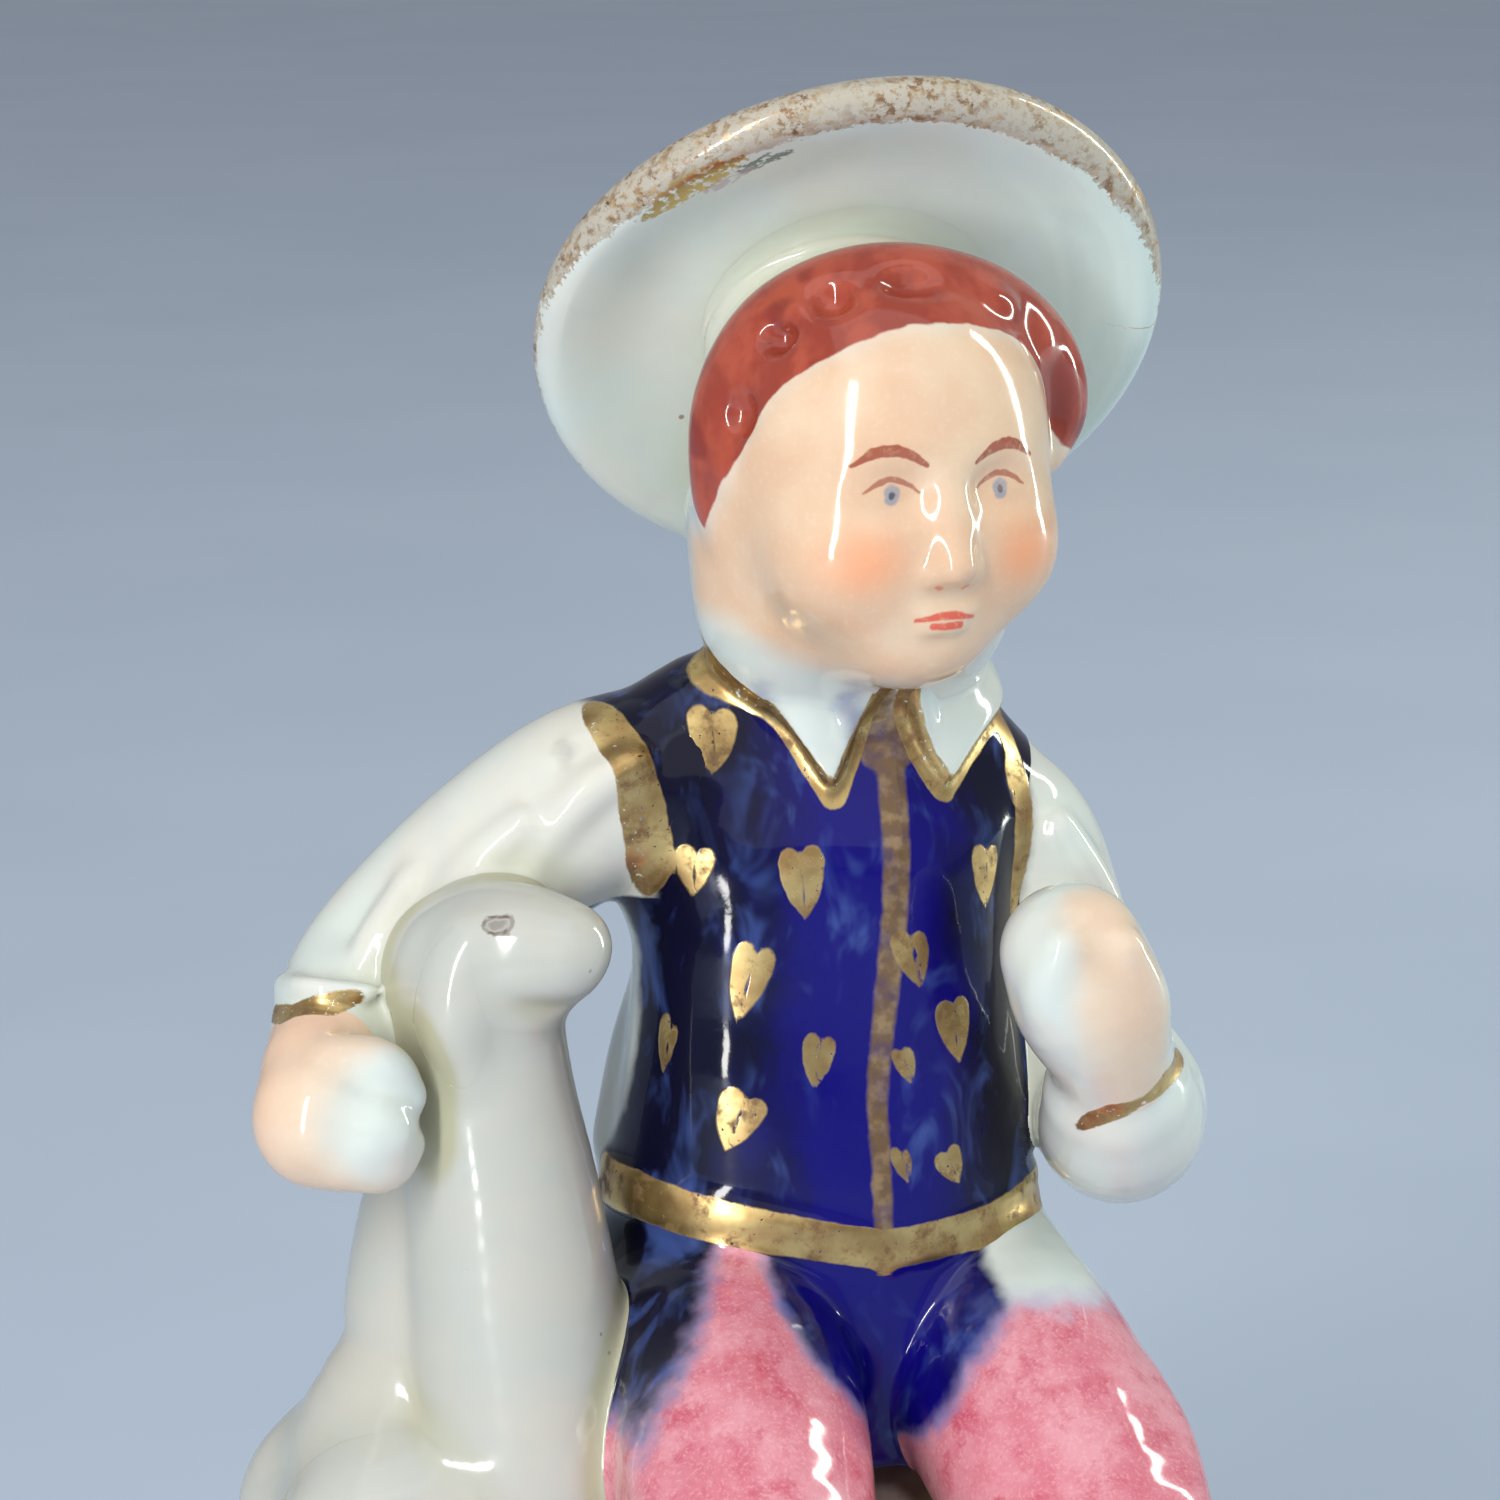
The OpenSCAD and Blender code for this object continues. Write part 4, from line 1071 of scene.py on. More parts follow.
class Paint:
    """A node material: each call adds a node and gives back its output."""

    def __init__(self, name):
        self.material = bpy.data.materials.new(name)
        self.material.use_nodes = True
        self.tree = self.material.node_tree
        self.tree.nodes.clear()
        self.place = self.attribute("place", "Vector")

    def link(self, socket, value):
        if isinstance(value, bpy.types.NodeSocket):
            self.tree.links.new(value, socket)
        elif isinstance(value, (tuple, list)) and len(value) == 3 and socket.type == "RGBA":
            socket.default_value = (*value, 1)
        else:
            socket.default_value = value

    def attribute(self, name, output="Fac"):
        node = self.tree.nodes.new("ShaderNodeAttribute")
        node.attribute_name = name
        return node.outputs[output]

    def math(self, operation, a, b=0.0, c=None, clamp=False):
        node = self.tree.nodes.new("ShaderNodeMath")
        node.operation, node.use_clamp = operation, clamp
        for i, value in enumerate((a, b) if c is None else (a, b, c)):
            self.link(node.inputs[i], value)
        return node.outputs[0]

    def vector(self, operation, a, b=None, scale=None, output="Vector"):
        node = self.tree.nodes.new("ShaderNodeVectorMath")
        node.operation = operation
        self.link(node.inputs[0], a)
        if b is not None:
            self.link(node.inputs[1], b)
        if scale is not None:
            self.link(node.inputs["Scale"], scale)
        return node.outputs[output]

    def noise(self, size, detail=2.0, rough=0.5, stretch=None, warp=0.0):
        """Noise whose lumps are about size millimetres."""
        node = self.tree.nodes.new("ShaderNodeTexNoise")
        where = self.place if stretch is None else self.vector("MULTIPLY", self.place, stretch)
        self.link(node.inputs["Vector"], where)
        for name, value in (("Scale", 1 / size), ("Detail", detail), ("Roughness", rough), ("Distortion", warp)):
            node.inputs[name].default_value = value
        return node.outputs["Fac"]

    def specks(self, size, radius):
        """1 inside small round dots, of which only some cells have one."""
        node = self.tree.nodes.new("ShaderNodeTexVoronoi")
        self.link(node.inputs["Vector"], self.place)
        node.inputs["Scale"].default_value = 1 / size
        dot = self.ramp(node.outputs["Distance"], radius, radius * 0.5)
        sparse = self.ramp(self.noise(size * 2.2, 1), 0.58, 0.66)
        return self.math("MULTIPLY", dot, sparse)

    def ramp(self, value, low, high, bottom=0.0, top=1.0):
        """Smooth change from bottom to top as value goes from low to high."""
        node = self.tree.nodes.new("ShaderNodeMapRange")
        node.interpolation_type = "SMOOTHSTEP"
        for i, v in enumerate((value, low, high, bottom, top)):
            self.link(node.inputs[i], v)
        return node.outputs[0]

    def mix(self, amount, a, b):
        node = self.tree.nodes.new("ShaderNodeMix")
        node.data_type = "RGBA"
        self.link(node.inputs[0], amount)
        self.link(node.inputs[6], a)
        self.link(node.inputs[7], b)
        return node.outputs[2]

    def blend(self, amount, a, b):
        """A number between a and b."""
        node = self.tree.nodes.new("ShaderNodeMix")
        node.data_type = "FLOAT"
        self.link(node.inputs[0], amount)
        self.link(node.inputs[2], a)
        self.link(node.inputs[3], b)
        return node.outputs[0]

    def mask(self, distance, soft=0.12, wobble=0.15, size=0.8):
        """1 inside a painted outline, with a hand-drawn edge."""
        shake = self.math("MULTIPLY_ADD", self.noise(size, 3), 2 * wobble, -wobble)
        return self.ramp(self.math("ADD", distance, shake), soft, -soft)

    def stroke(self, flat, a, b, ra, rb):
        """Distance to a straight brush stroke in the face's own plane."""
        run = (b[0] - a[0], 0, b[1] - a[1])
        off = self.vector("SUBTRACT", flat, (a[0], 0, a[1]))
        along = self.vector("DOT_PRODUCT", off, run, output="Value")
        t = self.math("MULTIPLY", along, 1 / (run[0] ** 2 + run[2] ** 2), clamp=True)
        gap = self.vector("SUBTRACT", off, self.vector("SCALE", run, scale=t))
        return self.math("SUBTRACT", self.vector("LENGTH", gap, output="Value"),
                         self.math("MULTIPLY_ADD", t, rb - ra, ra))

    def least(self, values):
        total = values[0]
        for value in values[1:]:
            total = self.math("MINIMUM", total, value)
        return total

    def finish(self, colour, rough, metal=0.0, height=None, bump=0.2, depth=0.05, soft=0.0, level=0.5):
        """The shader. depth is the height of the relief in millimetres."""
        shader = self.tree.nodes.new("ShaderNodeBsdfPrincipled")
        self.link(shader.inputs["Base Color"], colour)
        self.link(shader.inputs["Roughness"], rough)
        self.link(shader.inputs["Metallic"], metal)
        shader.inputs["IOR"].default_value = 1.52
        self.link(shader.inputs["Specular IOR Level"], level)
        if soft:
            shader.inputs["Subsurface Weight"].default_value = soft
            shader.inputs["Subsurface Radius"].default_value = (1.0, 0.9, 0.75)
            shader.inputs["Subsurface Scale"].default_value = 1.2 * MM
        if height is not None:
            node = self.tree.nodes.new("ShaderNodeBump")
            node.inputs["Strength"].default_value = bump
            node.inputs["Distance"].default_value = depth * MM
            self.link(node.inputs["Height"], height)
            self.link(shader.inputs["Normal"], node.outputs[0])
        out = self.tree.nodes.new("ShaderNodeOutputMaterial")
        self.tree.links.new(shader.outputs[0], out.inputs[0])
        return self.material


CREAM, MINT, GREY = (0.66, 0.65, 0.58), (0.62, 0.69, 0.65), (0.56, 0.58, 0.56)
GILT, GILT_DARK, GILT_PALE = (0.40, 0.25, 0.10), (0.15, 0.085, 0.04), (0.66, 0.49, 0.21)
# the second blue is the painted shade at the sides of the blue
COBALT, COBALT_SHADE, COBALT_THIN = (0.004, 0.002, 0.150), (0.002, 0.002, 0.016), (0.05, 0.09, 0.30)


def white_glaze(p, warm=0.5):
    """The milky body under clear glaze: uneven tint, pooled hollows and kiln specks."""
    tint = p.ramp(p.noise(9, 2), 0.35, 0.68)
    base = p.mix(tint, CREAM, MINT)
    base = p.mix(p.math("MULTIPLY", p.ramp(p.noise(3.2, 3), 0.42, 0.75), 0.35), base, GREY)
    pooled = p.ramp(p.attribute("hollow"), 0.12, 0.75)
    base = p.mix(p.math("MULTIPLY", pooled, 0.55), base, (0.56, 0.58, 0.44))
    base = p.mix(p.math("MULTIPLY", p.specks(2.6, 0.075), 0.8), base, (0.24, 0.13, 0.07))
    return base


def waviness(p):
    """Relief of a glaze that ran a little, with pinholes."""
    swell = p.math("ADD", p.noise(2.4, 2), p.math("MULTIPLY", p.noise(0.5, 2), 0.12))
    return p.math("SUBTRACT", swell, p.math("MULTIPLY", p.specks(1.7, 0.05), 0.5))


def add_cobalt(p, base, distance, soft=0.55):
    """Underglaze blue that bleeds at its edge, thins to paler patches and has painted shade towards the sides."""
    on = p.mask(distance, soft, 0.45, 1.6)
    split = p.tree.nodes.new("ShaderNodeSeparateXYZ")
    p.link(split.inputs[0], p.place)
    # painted shade: the blue turns near black with distance from x = 2 mm, towards the sides
    side = p.math("ABSOLUTE", p.math("SUBTRACT", split.outputs[0], 2.0))
    side = p.ramp(p.math("MULTIPLY_ADD", p.noise(4.0, 3, 0.6, (1, 1, 0.6)), 9.0, side), 6.0, 12.0)
    shaded_cobalt = p.mix(side, COBALT, COBALT_SHADE)
    shaded_cobalt = p.mix(p.math("MULTIPLY", p.ramp(p.noise(2.8, 3, 0.6, (1, 1, 0.5), 0.6), 0.50, 0.74), 0.70), shaded_cobalt, COBALT_THIN)
    return p.mix(on, base, shaded_cobalt), on


def add_umber(p, base, distance):
    """The brown wash, once gilt, on the placket and the knot."""
    on = p.mask(distance, 0.14, 0.14, 0.9)
    on = p.math("MULTIPLY", on, p.ramp(p.noise(1.4, 3, 0.6), 0.30, 0.62, 0.62, 1.0))
    tone = p.mix(p.ramp(p.noise(0.8, 3), 0.4, 0.7), (0.17, 0.105, 0.055), (0.30, 0.205, 0.11))
    return p.mix(on, base, tone), on


def add_gilding(p, base, rough, distance, soft=0.06, wobble=0.1, wear=0.62):
    """Burnished gold: rubbed to brown in patches, with bare pinholes."""
    on = p.mask(distance, soft, wobble, 0.7)
    rubbed = p.ramp(p.noise(1.3, 4, 0.65), 0.49, 0.68)
    gone = p.ramp(p.noise(0.34, 3, 0.7), wear, wear + 0.05)
    on = p.math("MULTIPLY", on, p.math("SUBTRACT", 1.0, gone))
    tone = p.mix(p.ramp(p.noise(2.2, 3), 0.3, 0.7), GILT, GILT_PALE)
    tone = p.mix(p.math("MULTIPLY", rubbed, 0.85), tone, GILT_DARK)
    sheen = p.blend(rubbed, 0.30, 0.55)
    colour = p.mix(on, base, tone)
    rough = p.blend(on, rough, sheen)
    metal = p.math("MULTIPLY", on, p.blend(rubbed, 0.92, 0.35))
    return colour, rough, metal, on


def glazed(name, blue=0.0, gold=False, umber=False):
    """White glaze, with cobalt, brown and gilding where the painter put them."""
    p = Paint(name)
    white = white_glaze(p)
    colour, rough, metal, height, level = white, 0.09, 0.0, waviness(p), 0.5
    if blue:
        colour, wet = add_cobalt(p, white, p.attribute("blue"))
        colour = p.mix(blue, white, colour)
        level = p.blend(wet, 0.5, 0.28)
    if umber:
        colour, _ = add_umber(p, colour, p.attribute("placket"))
    if gold:
        colour, rough, metal, on = add_gilding(p, colour, rough, p.attribute("gold"))
        height = p.math("MULTIPLY_ADD", on, 0.35, height)
    return p.finish(colour, rough, metal, height, 0.35, 0.06, 0.12, level)


def vest_glaze():
    p = Paint("cobalt_vest")
    colour, wet = add_cobalt(p, white_glaze(p), p.attribute("blue"))
    colour, seam = add_umber(p, colour, p.attribute("placket"))
    colour, rough, metal, on = add_gilding(p, colour, 0.07, p.attribute("gold"), wobble=0.08, wear=0.66)
    metal = p.math("MAXIMUM", metal, p.math("MULTIPLY", seam, 0.3))
    height = p.math("MULTIPLY_ADD", p.math("MAXIMUM", on, seam), 0.45, waviness(p))
    return p.finish(colour, rough, metal, height, 0.4, 0.06, level=p.blend(wet, 0.5, 0.28))


def breeches_glaze():
    """Stippled rose enamel with crimson blotches, paler where it meets the blue."""
    p = Paint("rose_breeches")
    edge = p.attribute("rose")
    colour, _ = add_cobalt(p, white_glaze(p), p.math("MULTIPLY", p.attribute("white"), -1.0), 0.5)
    rose = p.mix(p.ramp(p.noise(3.4, 4, 0.62), 0.36, 0.66), (0.60, 0.17, 0.22), (0.68, 0.29, 0.34))
    rose = p.mix(p.math("MULTIPLY", p.ramp(p.noise(2.2, 4, 0.7), 0.48, 0.70), 0.75), rose, (0.50, 0.06, 0.11))
    rose = p.mix(p.math("MULTIPLY", p.ramp(p.noise(0.22, 2, 0.7), 0.48, 0.7), 0.35), rose, (0.78, 0.44, 0.47))
    halo = p.mask(p.math("SUBTRACT", edge, 0.2), 0.4, 0.35, 1.3)
    colour = p.mix(p.math("MULTIPLY", halo, 0.6), colour, (0.42, 0.34, 0.58))
    colour = p.mix(p.mask(p.math("ADD", edge, 0.15), 0.4, 0.4, 1.0), colour, rose)
    colour, rough, metal, on = add_gilding(p, colour, 0.1, p.attribute("gold"))
    return p.finish(colour, rough, metal, waviness(p), 0.35, 0.06, 0.05)


def skin_tone(p):
    tone = p.mix(p.ramp(p.noise(5.0, 3), 0.35, 0.7), (0.70, 0.47, 0.31), (0.75, 0.57, 0.40))
    return p.mix(p.math("MULTIPLY", p.ramp(p.noise(0.3, 2), 0.5, 0.75), 0.12), tone, (0.86, 0.74, 0.60))


def arches(inner, outer, low, rise, wide, steps=7):
    """The same bowed brush stroke over each eye, thickest in the middle."""
    bow = [math.sin(math.pi * i / steps) for i in range(steps + 1)]
    rows = [(inner + (outer - inner) * i / steps, low + rise * b, wide * (0.35 + 0.65 * b)) for i, b in enumerate(bow)]
    return [((s * a[0], a[1]), (s * b[0], b[1]), a[2], b[2]) for s in (-1, 1) for a, b in zip(rows, rows[1:])]


def head_glaze():
    """Skin wash, glossy painted hair and the small face painting."""
    p = Paint("painted_head")
    turned = p.tree.nodes.new("ShaderNodeVectorRotate")
    turned.rotation_type = "Z_AXIS"
    p.link(turned.inputs["Vector"], p.place)
    turned.inputs["Angle"].default_value = -TURN
    local = turned.outputs[0]
    shake = p.tree.nodes.new("ShaderNodeTexNoise")
    p.link(shake.inputs["Vector"], p.place)
    shake.inputs["Scale"].default_value = 1.6
    shake.inputs["Detail"].default_value = 3
    drift = p.vector("SCALE", p.vector("SUBTRACT", shake.outputs["Color"], (0.5, 0.5, 0.5)), scale=0.22)
    flat = p.vector("MULTIPLY", p.vector("ADD", local, drift), (1, 0, 1))
    split = p.tree.nodes.new("ShaderNodeSeparateXYZ")
    p.link(split.inputs[0], local)
    front = p.ramp(split.outputs[1], -2.5, -4.0)
    skin = skin_tone(p)
    blush = p.least([p.vector("LENGTH", p.vector("SUBTRACT", p.vector("MULTIPLY", flat, (1, 1, 1.15)),
                                                 (s * 4.3, 0, -3.4)), output="Value") for s in (-1, 1)])
    skin = p.mix(p.math("MULTIPLY", p.ramp(blush, 3.0, 0.2), 0.62), skin, (0.85, 0.30, 0.12))
    colour = p.mix(p.mask(p.attribute("skin"), 1.0, 0.4, 2.4), white_glaze(p), skin)
    hair = p.mix(p.ramp(p.noise(2.4, 3, 0.6, (1, 1, 0.7)), 0.38, 0.62), (0.29, 0.045, 0.026), (0.40, 0.075, 0.042))
    hair = p.mix(p.ramp(p.noise(3.4, 1, 0.5), 0.66, 0.74, 0.0, 0.8), hair, (0.22, 0.030, 0.022))
    colour = p.mix(p.mask(p.attribute("hair"), 0.07, 0.12, 0.9), colour, hair)
    wash = p.math("MULTIPLY", p.mask(p.attribute("blue"), 0.6, 0.4, 1.0), 0.6)
    colour = p.mix(wash, colour, COBALT_THIN)
    marks = [
        ((0.34, 0.085, 0.045), 0.05, 0.95, arches(1.3, 4.7, 1.65, 0.75, 0.30)),
        ((0.40, 0.14, 0.085), 0.05, 0.9, arches(1.5, 4.2, 0.30, 0.65, 0.16)),
        ((0.30, 0.31, 0.36), 0.10, 0.9, [((s * 2.85, 0.28), (s * 2.87, 0.05), 0.40, 0.36) for s in (-1, 1)]),
        ((0.05, 0.05, 0.07), 0.06, 0.8, [((s * 2.85, 0.2), (s * 2.87, 0.12), 0.16, 0.14) for s in (-1, 1)]),
        ((0.70, 0.10, 0.055), 0.07, 0.95, [((-1.5, -5.95), (-0.35, -5.72), 0.10, 0.22),
                                          ((-0.35, -5.72), (0.35, -5.72), 0.22, 0.22),
                                          ((0.35, -5.72), (1.5, -5.95), 0.22, 0.10),
                                          ((-0.7, -6.25), (0.7, -6.25), 0.18, 0.18)]),
        ((0.66, 0.16, 0.08), 0.08, 0.8, [((s * 0.62, -4.3), (s * 0.8, -4.22), 0.13, 0.10) for s in (-1, 1)]),
    ]
    for tone, soft, strength, strokes in marks:
        on = p.ramp(p.least([p.stroke(flat, *s) for s in strokes]), soft, -soft)
        worn = p.ramp(p.noise(0.35, 3), 0.30, 0.52, 0.72, 1.0)
        on = p.math("MULTIPLY", p.math("MULTIPLY", on, worn), p.math("MULTIPLY", front, strength))
        colour = p.mix(on, colour, tone)
    rough = p.ramp(p.noise(2.0, 2), 0.3, 0.7, 0.07, 0.13)
    colour, _ = add_umber(p, colour, p.attribute("placket"))
    colour, rough, metal, on = add_gilding(p, colour, rough, p.attribute("gold"))
    return p.finish(colour, rough, metal, waviness(p), 0.35, 0.06, 0.1)


def hat_glaze():
    """White hat, cream at the left, with a painted green tint of the light from the right, and a worn gilt rim."""
    p = Paint("hat_glaze")
    base = white_glaze(p)
    split = p.tree.nodes.new("ShaderNodeSeparateXYZ")
    p.link(split.inputs[0], p.place)
    # painted light: mint towards +x, the tint of the greenish light from the right
    base = p.mix(p.ramp(split.outputs[0], -4, 18, 0.0, 0.6), base, (0.66, 0.82, 0.76))
    r, angle = p.attribute("rim"), p.attribute("angle")
    # the band is wide over the top, narrow at the sides and gone below
    top = p.ramp(p.math("ABSOLUTE", p.math("SUBTRACT", angle, 92.0)), 96, 30)
    inner = p.blend(top, 15.9, 14.3)
    ragged = p.math("MULTIPLY_ADD", p.noise(1.1, 4, 0.7), 1.1, p.math("MULTIPLY", p.noise(0.3, 3, 0.7), 0.9))
    near = p.ramp(p.math("SUBTRACT", r, p.math("ADD", inner, p.math("SUBTRACT", ragged, 1.0))), -0.05, 0.12)
    colour = p.mix(p.math("MULTIPLY", near, 0.9), base, (0.44, 0.39, 0.31))
    worn = p.math("MULTIPLY", p.ramp(p.noise(0.5, 4, 0.75), 0.47, 0.58), p.ramp(p.noise(2.6, 3, 0.6), 0.34, 0.56, 0.2, 1.0))
    on = p.math("MULTIPLY", near, worn)
    tone = p.mix(p.ramp(p.noise(0.9, 4, 0.7), 0.40, 0.62), (0.24, 0.14, 0.07), (0.46, 0.33, 0.18))
    tone = p.mix(p.ramp(p.noise(0.4, 3, 0.7), 0.60, 0.68), tone, (0.10, 0.06, 0.04))
    colour = p.mix(on, colour, tone)
    metal = p.math("MULTIPLY", on, 0.30)
    # one patch of bright gold with a dark smudge beside it
    for centre, size, shade, shine, strength in (
            ((48.0, 14.2), 1.0, GILT_PALE, 1.0, 1.0), ((62.0, 13.4), 0.55, (0.07, 0.10, 0.10), 0.0, 0.85),
            ((53.0, 13.0), 0.5, (0.40, 0.28, 0.30), 0.0, 0.6)):
        du = p.math("MULTIPLY", p.math("SUBTRACT", angle, centre[0]), 0.105)
        dv = p.math("MULTIPLY", p.math("SUBTRACT", r, centre[1]), 1.35)
        far = p.math("SQRT", p.math("ADD", p.math("MULTIPLY", du, du), p.math("MULTIPLY", dv, dv)))
        spot = p.mask(p.math("SUBTRACT", far, size * 1.25), 0.12, 0.7, 0.7)
        spot = p.math("MULTIPLY", spot, p.math("MULTIPLY", p.ramp(p.noise(0.4, 4), 0.62, 0.50), strength))
        colour = p.mix(spot, colour, shade)
        metal = p.blend(spot, metal, shine)
    rough = p.blend(on, 0.08, 0.5)
    rough = p.blend(metal, rough, 0.32)
    return p.finish(colour, rough, metal, waviness(p), 0.3, 0.06, 0.12)


def hand_glaze():
    p = Paint("hand_glaze")
    # on the right hand the part left white here is a painted highlight
    bare = p.math("MULTIPLY", p.mask(p.attribute("skin"), 0.9, 0.5, 1.6), 0.75)
    colour = p.mix(bare, white_glaze(p), skin_tone(p))
    warm = p.math("MULTIPLY", p.mask(p.math("ADD", p.attribute("skin"), 1.6), 1.4, 0.8, 2.4), 0.28)
    colour = p.mix(warm, colour, (0.86, 0.42, 0.24))
    colour, rough, metal, on = add_gilding(p, colour, 0.09, p.attribute("gold"))
    return p.finish(colour, rough, metal, waviness(p), 0.35, 0.06, 0.12)


def dog_glaze():
    p = Paint("dog_glaze")
    base = p.mix(p.ramp(p.noise(7, 3), 0.35, 0.68), (0.52, 0.51, 0.45), (0.48, 0.50, 0.46))
    pooled = p.ramp(p.attribute("hollow"), 0.04, 0.5)
    base = p.mix(p.math("MULTIPLY", pooled, 0.75), base, (0.41, 0.40, 0.25))
    base = p.mix(p.math("MULTIPLY", p.mask(p.attribute("blush"), 1.2, 0.6, 2.5), 0.22), base, (0.74, 0.48, 0.40))
    eye = p.attribute("eye")
    eye = p.math("ADD", eye, p.math("MULTIPLY_ADD", p.noise(0.6, 3), 0.5, -0.25))
    ring = p.math("MULTIPLY", p.ramp(p.math("ABSOLUTE", p.math("SUBTRACT", eye, 0.50)), 0.15, 0.04),
                  p.ramp(p.noise(0.7, 2), 0.35, 0.55, 0.55, 0.95))
    base = p.mix(ring, base, (0.12, 0.075, 0.05))
    base = p.mix(p.math("MULTIPLY", p.ramp(eye, 0.46, 0.25), 0.75), base, (0.20, 0.18, 0.155))
    base = p.mix(p.math("MULTIPLY", p.specks(2.0, 0.07), 0.85), base, (0.26, 0.14, 0.07))
    return p.finish(base, 0.11, 0.0, waviness(p), 0.4, 0.06, 0.12)


def shoe_glaze():
    p = Paint("black_shoes")
    tone = p.mix(p.ramp(p.noise(1.4, 3), 0.4, 0.7), (0.012, 0.009, 0.011), (0.05, 0.03, 0.03))
    tone = p.mix(p.ramp(p.noise(0.4, 3, 0.7), 0.66, 0.72), tone, (0.45, 0.42, 0.38))
    return p.finish(tone, p.ramp(p.noise(1.0, 2), 0.3, 0.7, 0.08, 0.2), 0.0, waviness(p), 0.4, 0.06)


def rock_glaze():
    """White mound washed with brown and olive in patches, near-black brown where other surface is close, gilt on the
    rim.
    """
    p = Paint("painted_rock")
    base = white_glaze(p)
    wash = p.ramp(p.noise(5.5, 4, 0.6), 0.42, 0.62)
    base = p.mix(p.math("MULTIPLY", wash, 0.75), base, (0.40, 0.25, 0.13))
    green = p.ramp(p.noise(7.0, 3, 0.6, (1.2, 0.9, 1.1)), 0.52, 0.66)
    base = p.mix(p.math("MULTIPLY", green, 0.7), base, (0.26, 0.34, 0.12))
    # near-black brown where the surface faces other surface within about a millimetre, in the clefts and under the
    # figures
    base = p.mix(p.ramp(p.attribute("hollow"), 0.10, 0.6, 0.0, 0.85), base, (0.13, 0.08, 0.05))
    base = p.mix(p.math("MULTIPLY", p.ramp(p.noise(0.5, 3, 0.7), 0.6, 0.72), 0.4), base, (0.30, 0.17, 0.09))
    split = p.tree.nodes.new("ShaderNodeSeparateXYZ")
    p.link(split.inputs[0], p.place)
    z = split.outputs[2]
    plain = p.mask(p.math("SUBTRACT", z, PLINTH[2] - 0.6), 0.25, 0.5, 2.0)
    base = p.mix(plain, base, white_glaze(p))
    line = p.math("SUBTRACT", p.math("ABSOLUTE", p.math("SUBTRACT", z, 3.4)), 0.5)
    base, rough, metal, on = add_gilding(p, base, 0.12, line, wear=0.6)
    bare = p.ramp(z, 0.5, 0.3)
    base = p.mix(bare, base, (0.74, 0.69, 0.60))
    rough = p.blend(bare, rough, 0.7)
    return p.finish(base, rough, metal, waviness(p), 0.5, 0.08, 0.05)


def moss_glaze():
    p = Paint("moss_beads")
    tone = p.mix(p.ramp(p.noise(1.6, 3), 0.35, 0.65), (0.13, 0.25, 0.06), (0.34, 0.42, 0.12))
    tone = p.mix(p.ramp(p.noise(2.6, 2), 0.60, 0.7), tone, (0.55, 0.40, 0.14))
    return p.finish(tone, 0.2, 0.0, p.noise(0.4, 3), 0.5, 0.1)


def bisque():
    """Unglazed floor: fine grit, rub marks and a little dust."""
    p = Paint("bisque_floor")
    node = p.tree.nodes.new("ShaderNodeTexCoord")
    p.place = p.vector("SCALE", node.outputs["Object"], scale=1 / MM)
    tone = p.mix(p.ramp(p.noise(6, 4, 0.6), 0.35, 0.7), (0.72, 0.67, 0.58), (0.80, 0.77, 0.70))
    tone = p.mix(p.ramp(p.noise(0.3, 3, 0.7), 0.62, 0.74), tone, (0.45, 0.38, 0.30))
    return p.finish(tone, p.ramp(p.noise(2, 3), 0.3, 0.7, 0.6, 0.85), 0.0, p.noise(0.25, 3, 0.7), 0.6, 0.06)


PLAIN_WHITE = glazed("white_glaze")
SLEEVE = glazed("sleeve_glaze", blue=1.0, gold=True)
COLLAR = glazed("collar_glaze", blue=0.6, gold=True, umber=True)
VEST, BREECHES, HEAD_PAINT, HAT = vest_glaze(), breeches_glaze(), head_glaze(), hat_glaze()
HAND, DOG, SHOE, ROCK, MOSS, BISQUE = hand_glaze(), dog_glaze(), shoe_glaze(), rock_glaze(), moss_glaze(), bisque()

FINISH = {
    "rock_base": (ROCK, "rock_brown"), "rock_knob": (ROCK, "rock_brown"), "moss_tufts": (MOSS, "moss_green"),
    "torso": (VEST, "cobalt"), "coat_skirt": (VEST, "cobalt"),
    "collar_right": (COLLAR, "glaze"), "collar_left": (COLLAR, "glaze"),
    "head": (HEAD_PAINT, "flesh"), "hat_brim": (HAT, "glaze"), "hat_crown": (HAT, "glaze"),
    "right_sleeve": (SLEEVE, "glaze"), "left_sleeve": (SLEEVE, "glaze"),
    "right_hand": (HAND, "flesh"), "left_hand": (HAND, "flesh"),
    "right_breeches": (BREECHES, "rose"), "left_breeches": (BREECHES, "rose"),
    "right_calf": (PLAIN_WHITE, "glaze"), "left_calf": (PLAIN_WHITE, "glaze"),
    "right_shoe": (SHOE, "shoe_black"), "left_shoe": (SHOE, "shoe_black"),
}
for name, piece in PIECES.items():
    material, slot = FINISH.get(name, (DOG, "glaze"))
    build(piece, material)

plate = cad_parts["floor_plate"]
for i in range(len(plate.data.materials)):
    plate.material_slots[i].link = "OBJECT"
    plate.material_slots[i].material = BISQUE


# ---------------------------------------------------------------- floor, light and camera

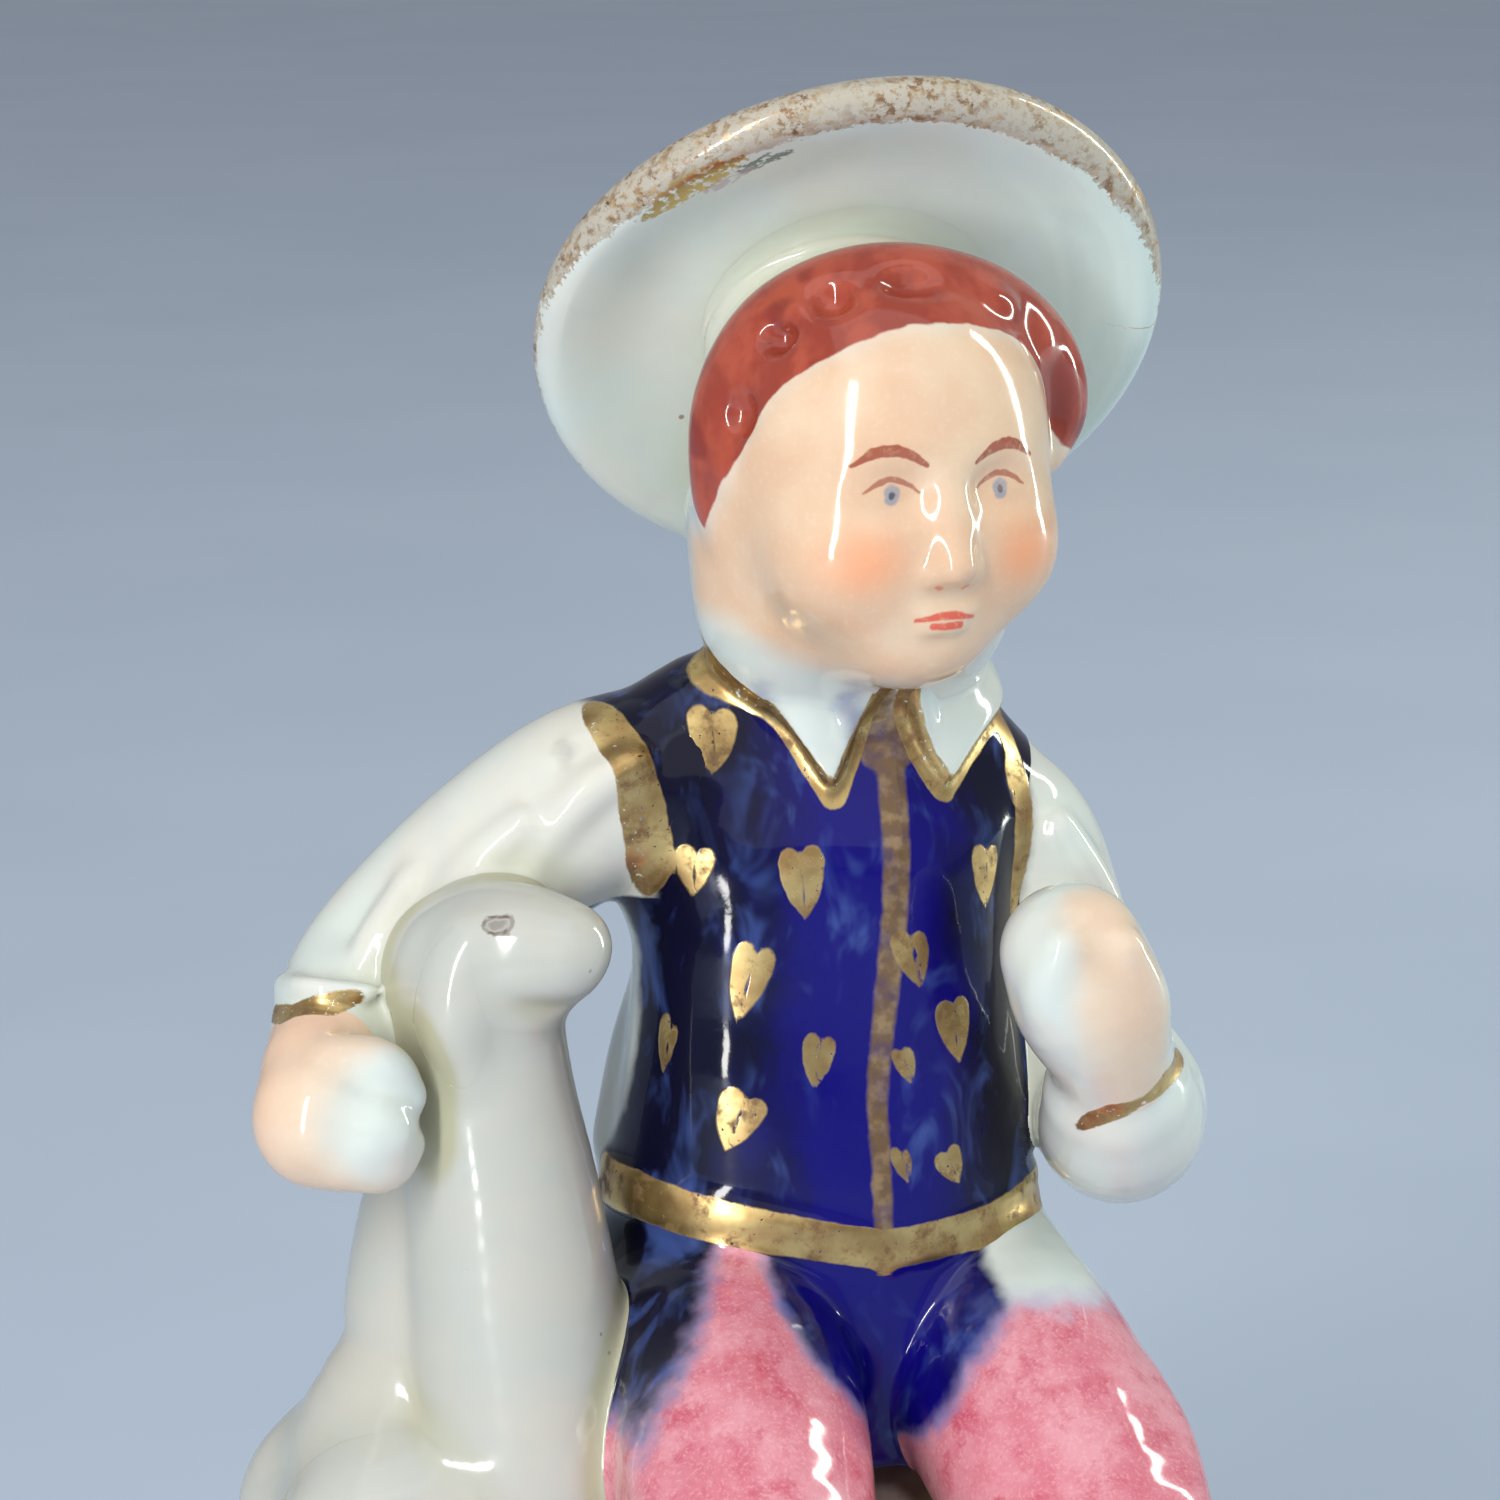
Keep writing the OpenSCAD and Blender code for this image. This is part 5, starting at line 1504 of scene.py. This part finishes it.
def studio_floor():
    p = Paint("studio_floor")
    node = p.tree.nodes.new("ShaderNodeTexCoord")
    p.place = p.vector("SCALE", node.outputs["Object"], scale=1 / MM)
    tone = p.mix(p.ramp(p.noise(60, 2), 0.3, 0.7), (0.47, 0.55, 0.68), (0.49, 0.57, 0.70))
    mesh = bpy.data.meshes.new("studio_floor")
    half = 5.0
    mesh.from_pydata([(-half, -half, 0), (half, -half, 0), (half, half, 0), (-half, half, 0)], [], [(0, 1, 2, 3)])
    mesh.materials.append(p.finish(tone, 0.6))
    floor = bpy.data.objects.new("studio_floor", mesh)
    floor.location.z = CAD_BOX[0][2]
    bpy.context.collection.objects.link(floor)


def softbox(name, azimuth, elevation, distance, width, height, power, colour):
    lamp = bpy.data.lights.new(name, "AREA")
    lamp.shape, lamp.size, lamp.size_y = "RECTANGLE", width, height
    lamp.energy, lamp.color = power, colour
    thing = bpy.data.objects.new(name, lamp)
    a, e = math.radians(azimuth), math.radians(elevation)
    way = Vector((math.sin(a) * math.cos(e), -math.cos(a) * math.cos(e), math.sin(e)))
    thing.location = middle + way * distance
    thing.rotation_euler = way.to_track_quat("Z", "Y").to_euler()
    bpy.context.collection.objects.link(thing)


low, high = (Vector(c) for c in CAD_BOX)
middle = (low + high) / 2
target = middle + Vector((-0.002, 0.005, 0.0206))
studio_floor()
softbox("window_left", -42, 18, 0.40, 0.030, 0.36, 1.25, (1.0, 0.98, 0.95))
softbox("window_right", 94, 20, 0.9, 0.07, 0.76, 5.0, (0.93, 1.0, 0.90))
softbox("overhead", -20, 72, 1.2, 1.2, 1.0, 3.0, (0.96, 0.98, 1.0))
softbox("front", -12, 34, 1.3, 2.0, 1.0, 3.6, (1.0, 1.0, 0.98))

world = bpy.data.worlds.new("studio")
world.use_nodes = True
world.node_tree.nodes["Background"].inputs["Color"].default_value = (0.86, 0.89, 0.93, 1)
world.node_tree.nodes["Background"].inputs["Strength"].default_value = 0.42
bpy.context.scene.world = world
bpy.context.scene.view_settings.view_transform = "Standard"

AZIMUTH, ELEVATION, DISTANCE = math.radians(-18), math.radians(12), 0.260
back = Vector((math.sin(AZIMUTH) * math.cos(ELEVATION), -math.cos(AZIMUTH) * math.cos(ELEVATION), math.sin(ELEVATION)))
lens = bpy.data.cameras.new("camera")
lens.lens, lens.sensor_width, lens.clip_start = 124.8, 36.0, 0.01
camera = bpy.data.objects.new("camera", lens)
camera.location = target + back * DISTANCE
camera.rotation_euler = back.to_track_quat("Z", "Y").to_euler()
bpy.context.collection.objects.link(camera)
bpy.context.scene.camera = camera

bpy.context.view_layer.update()
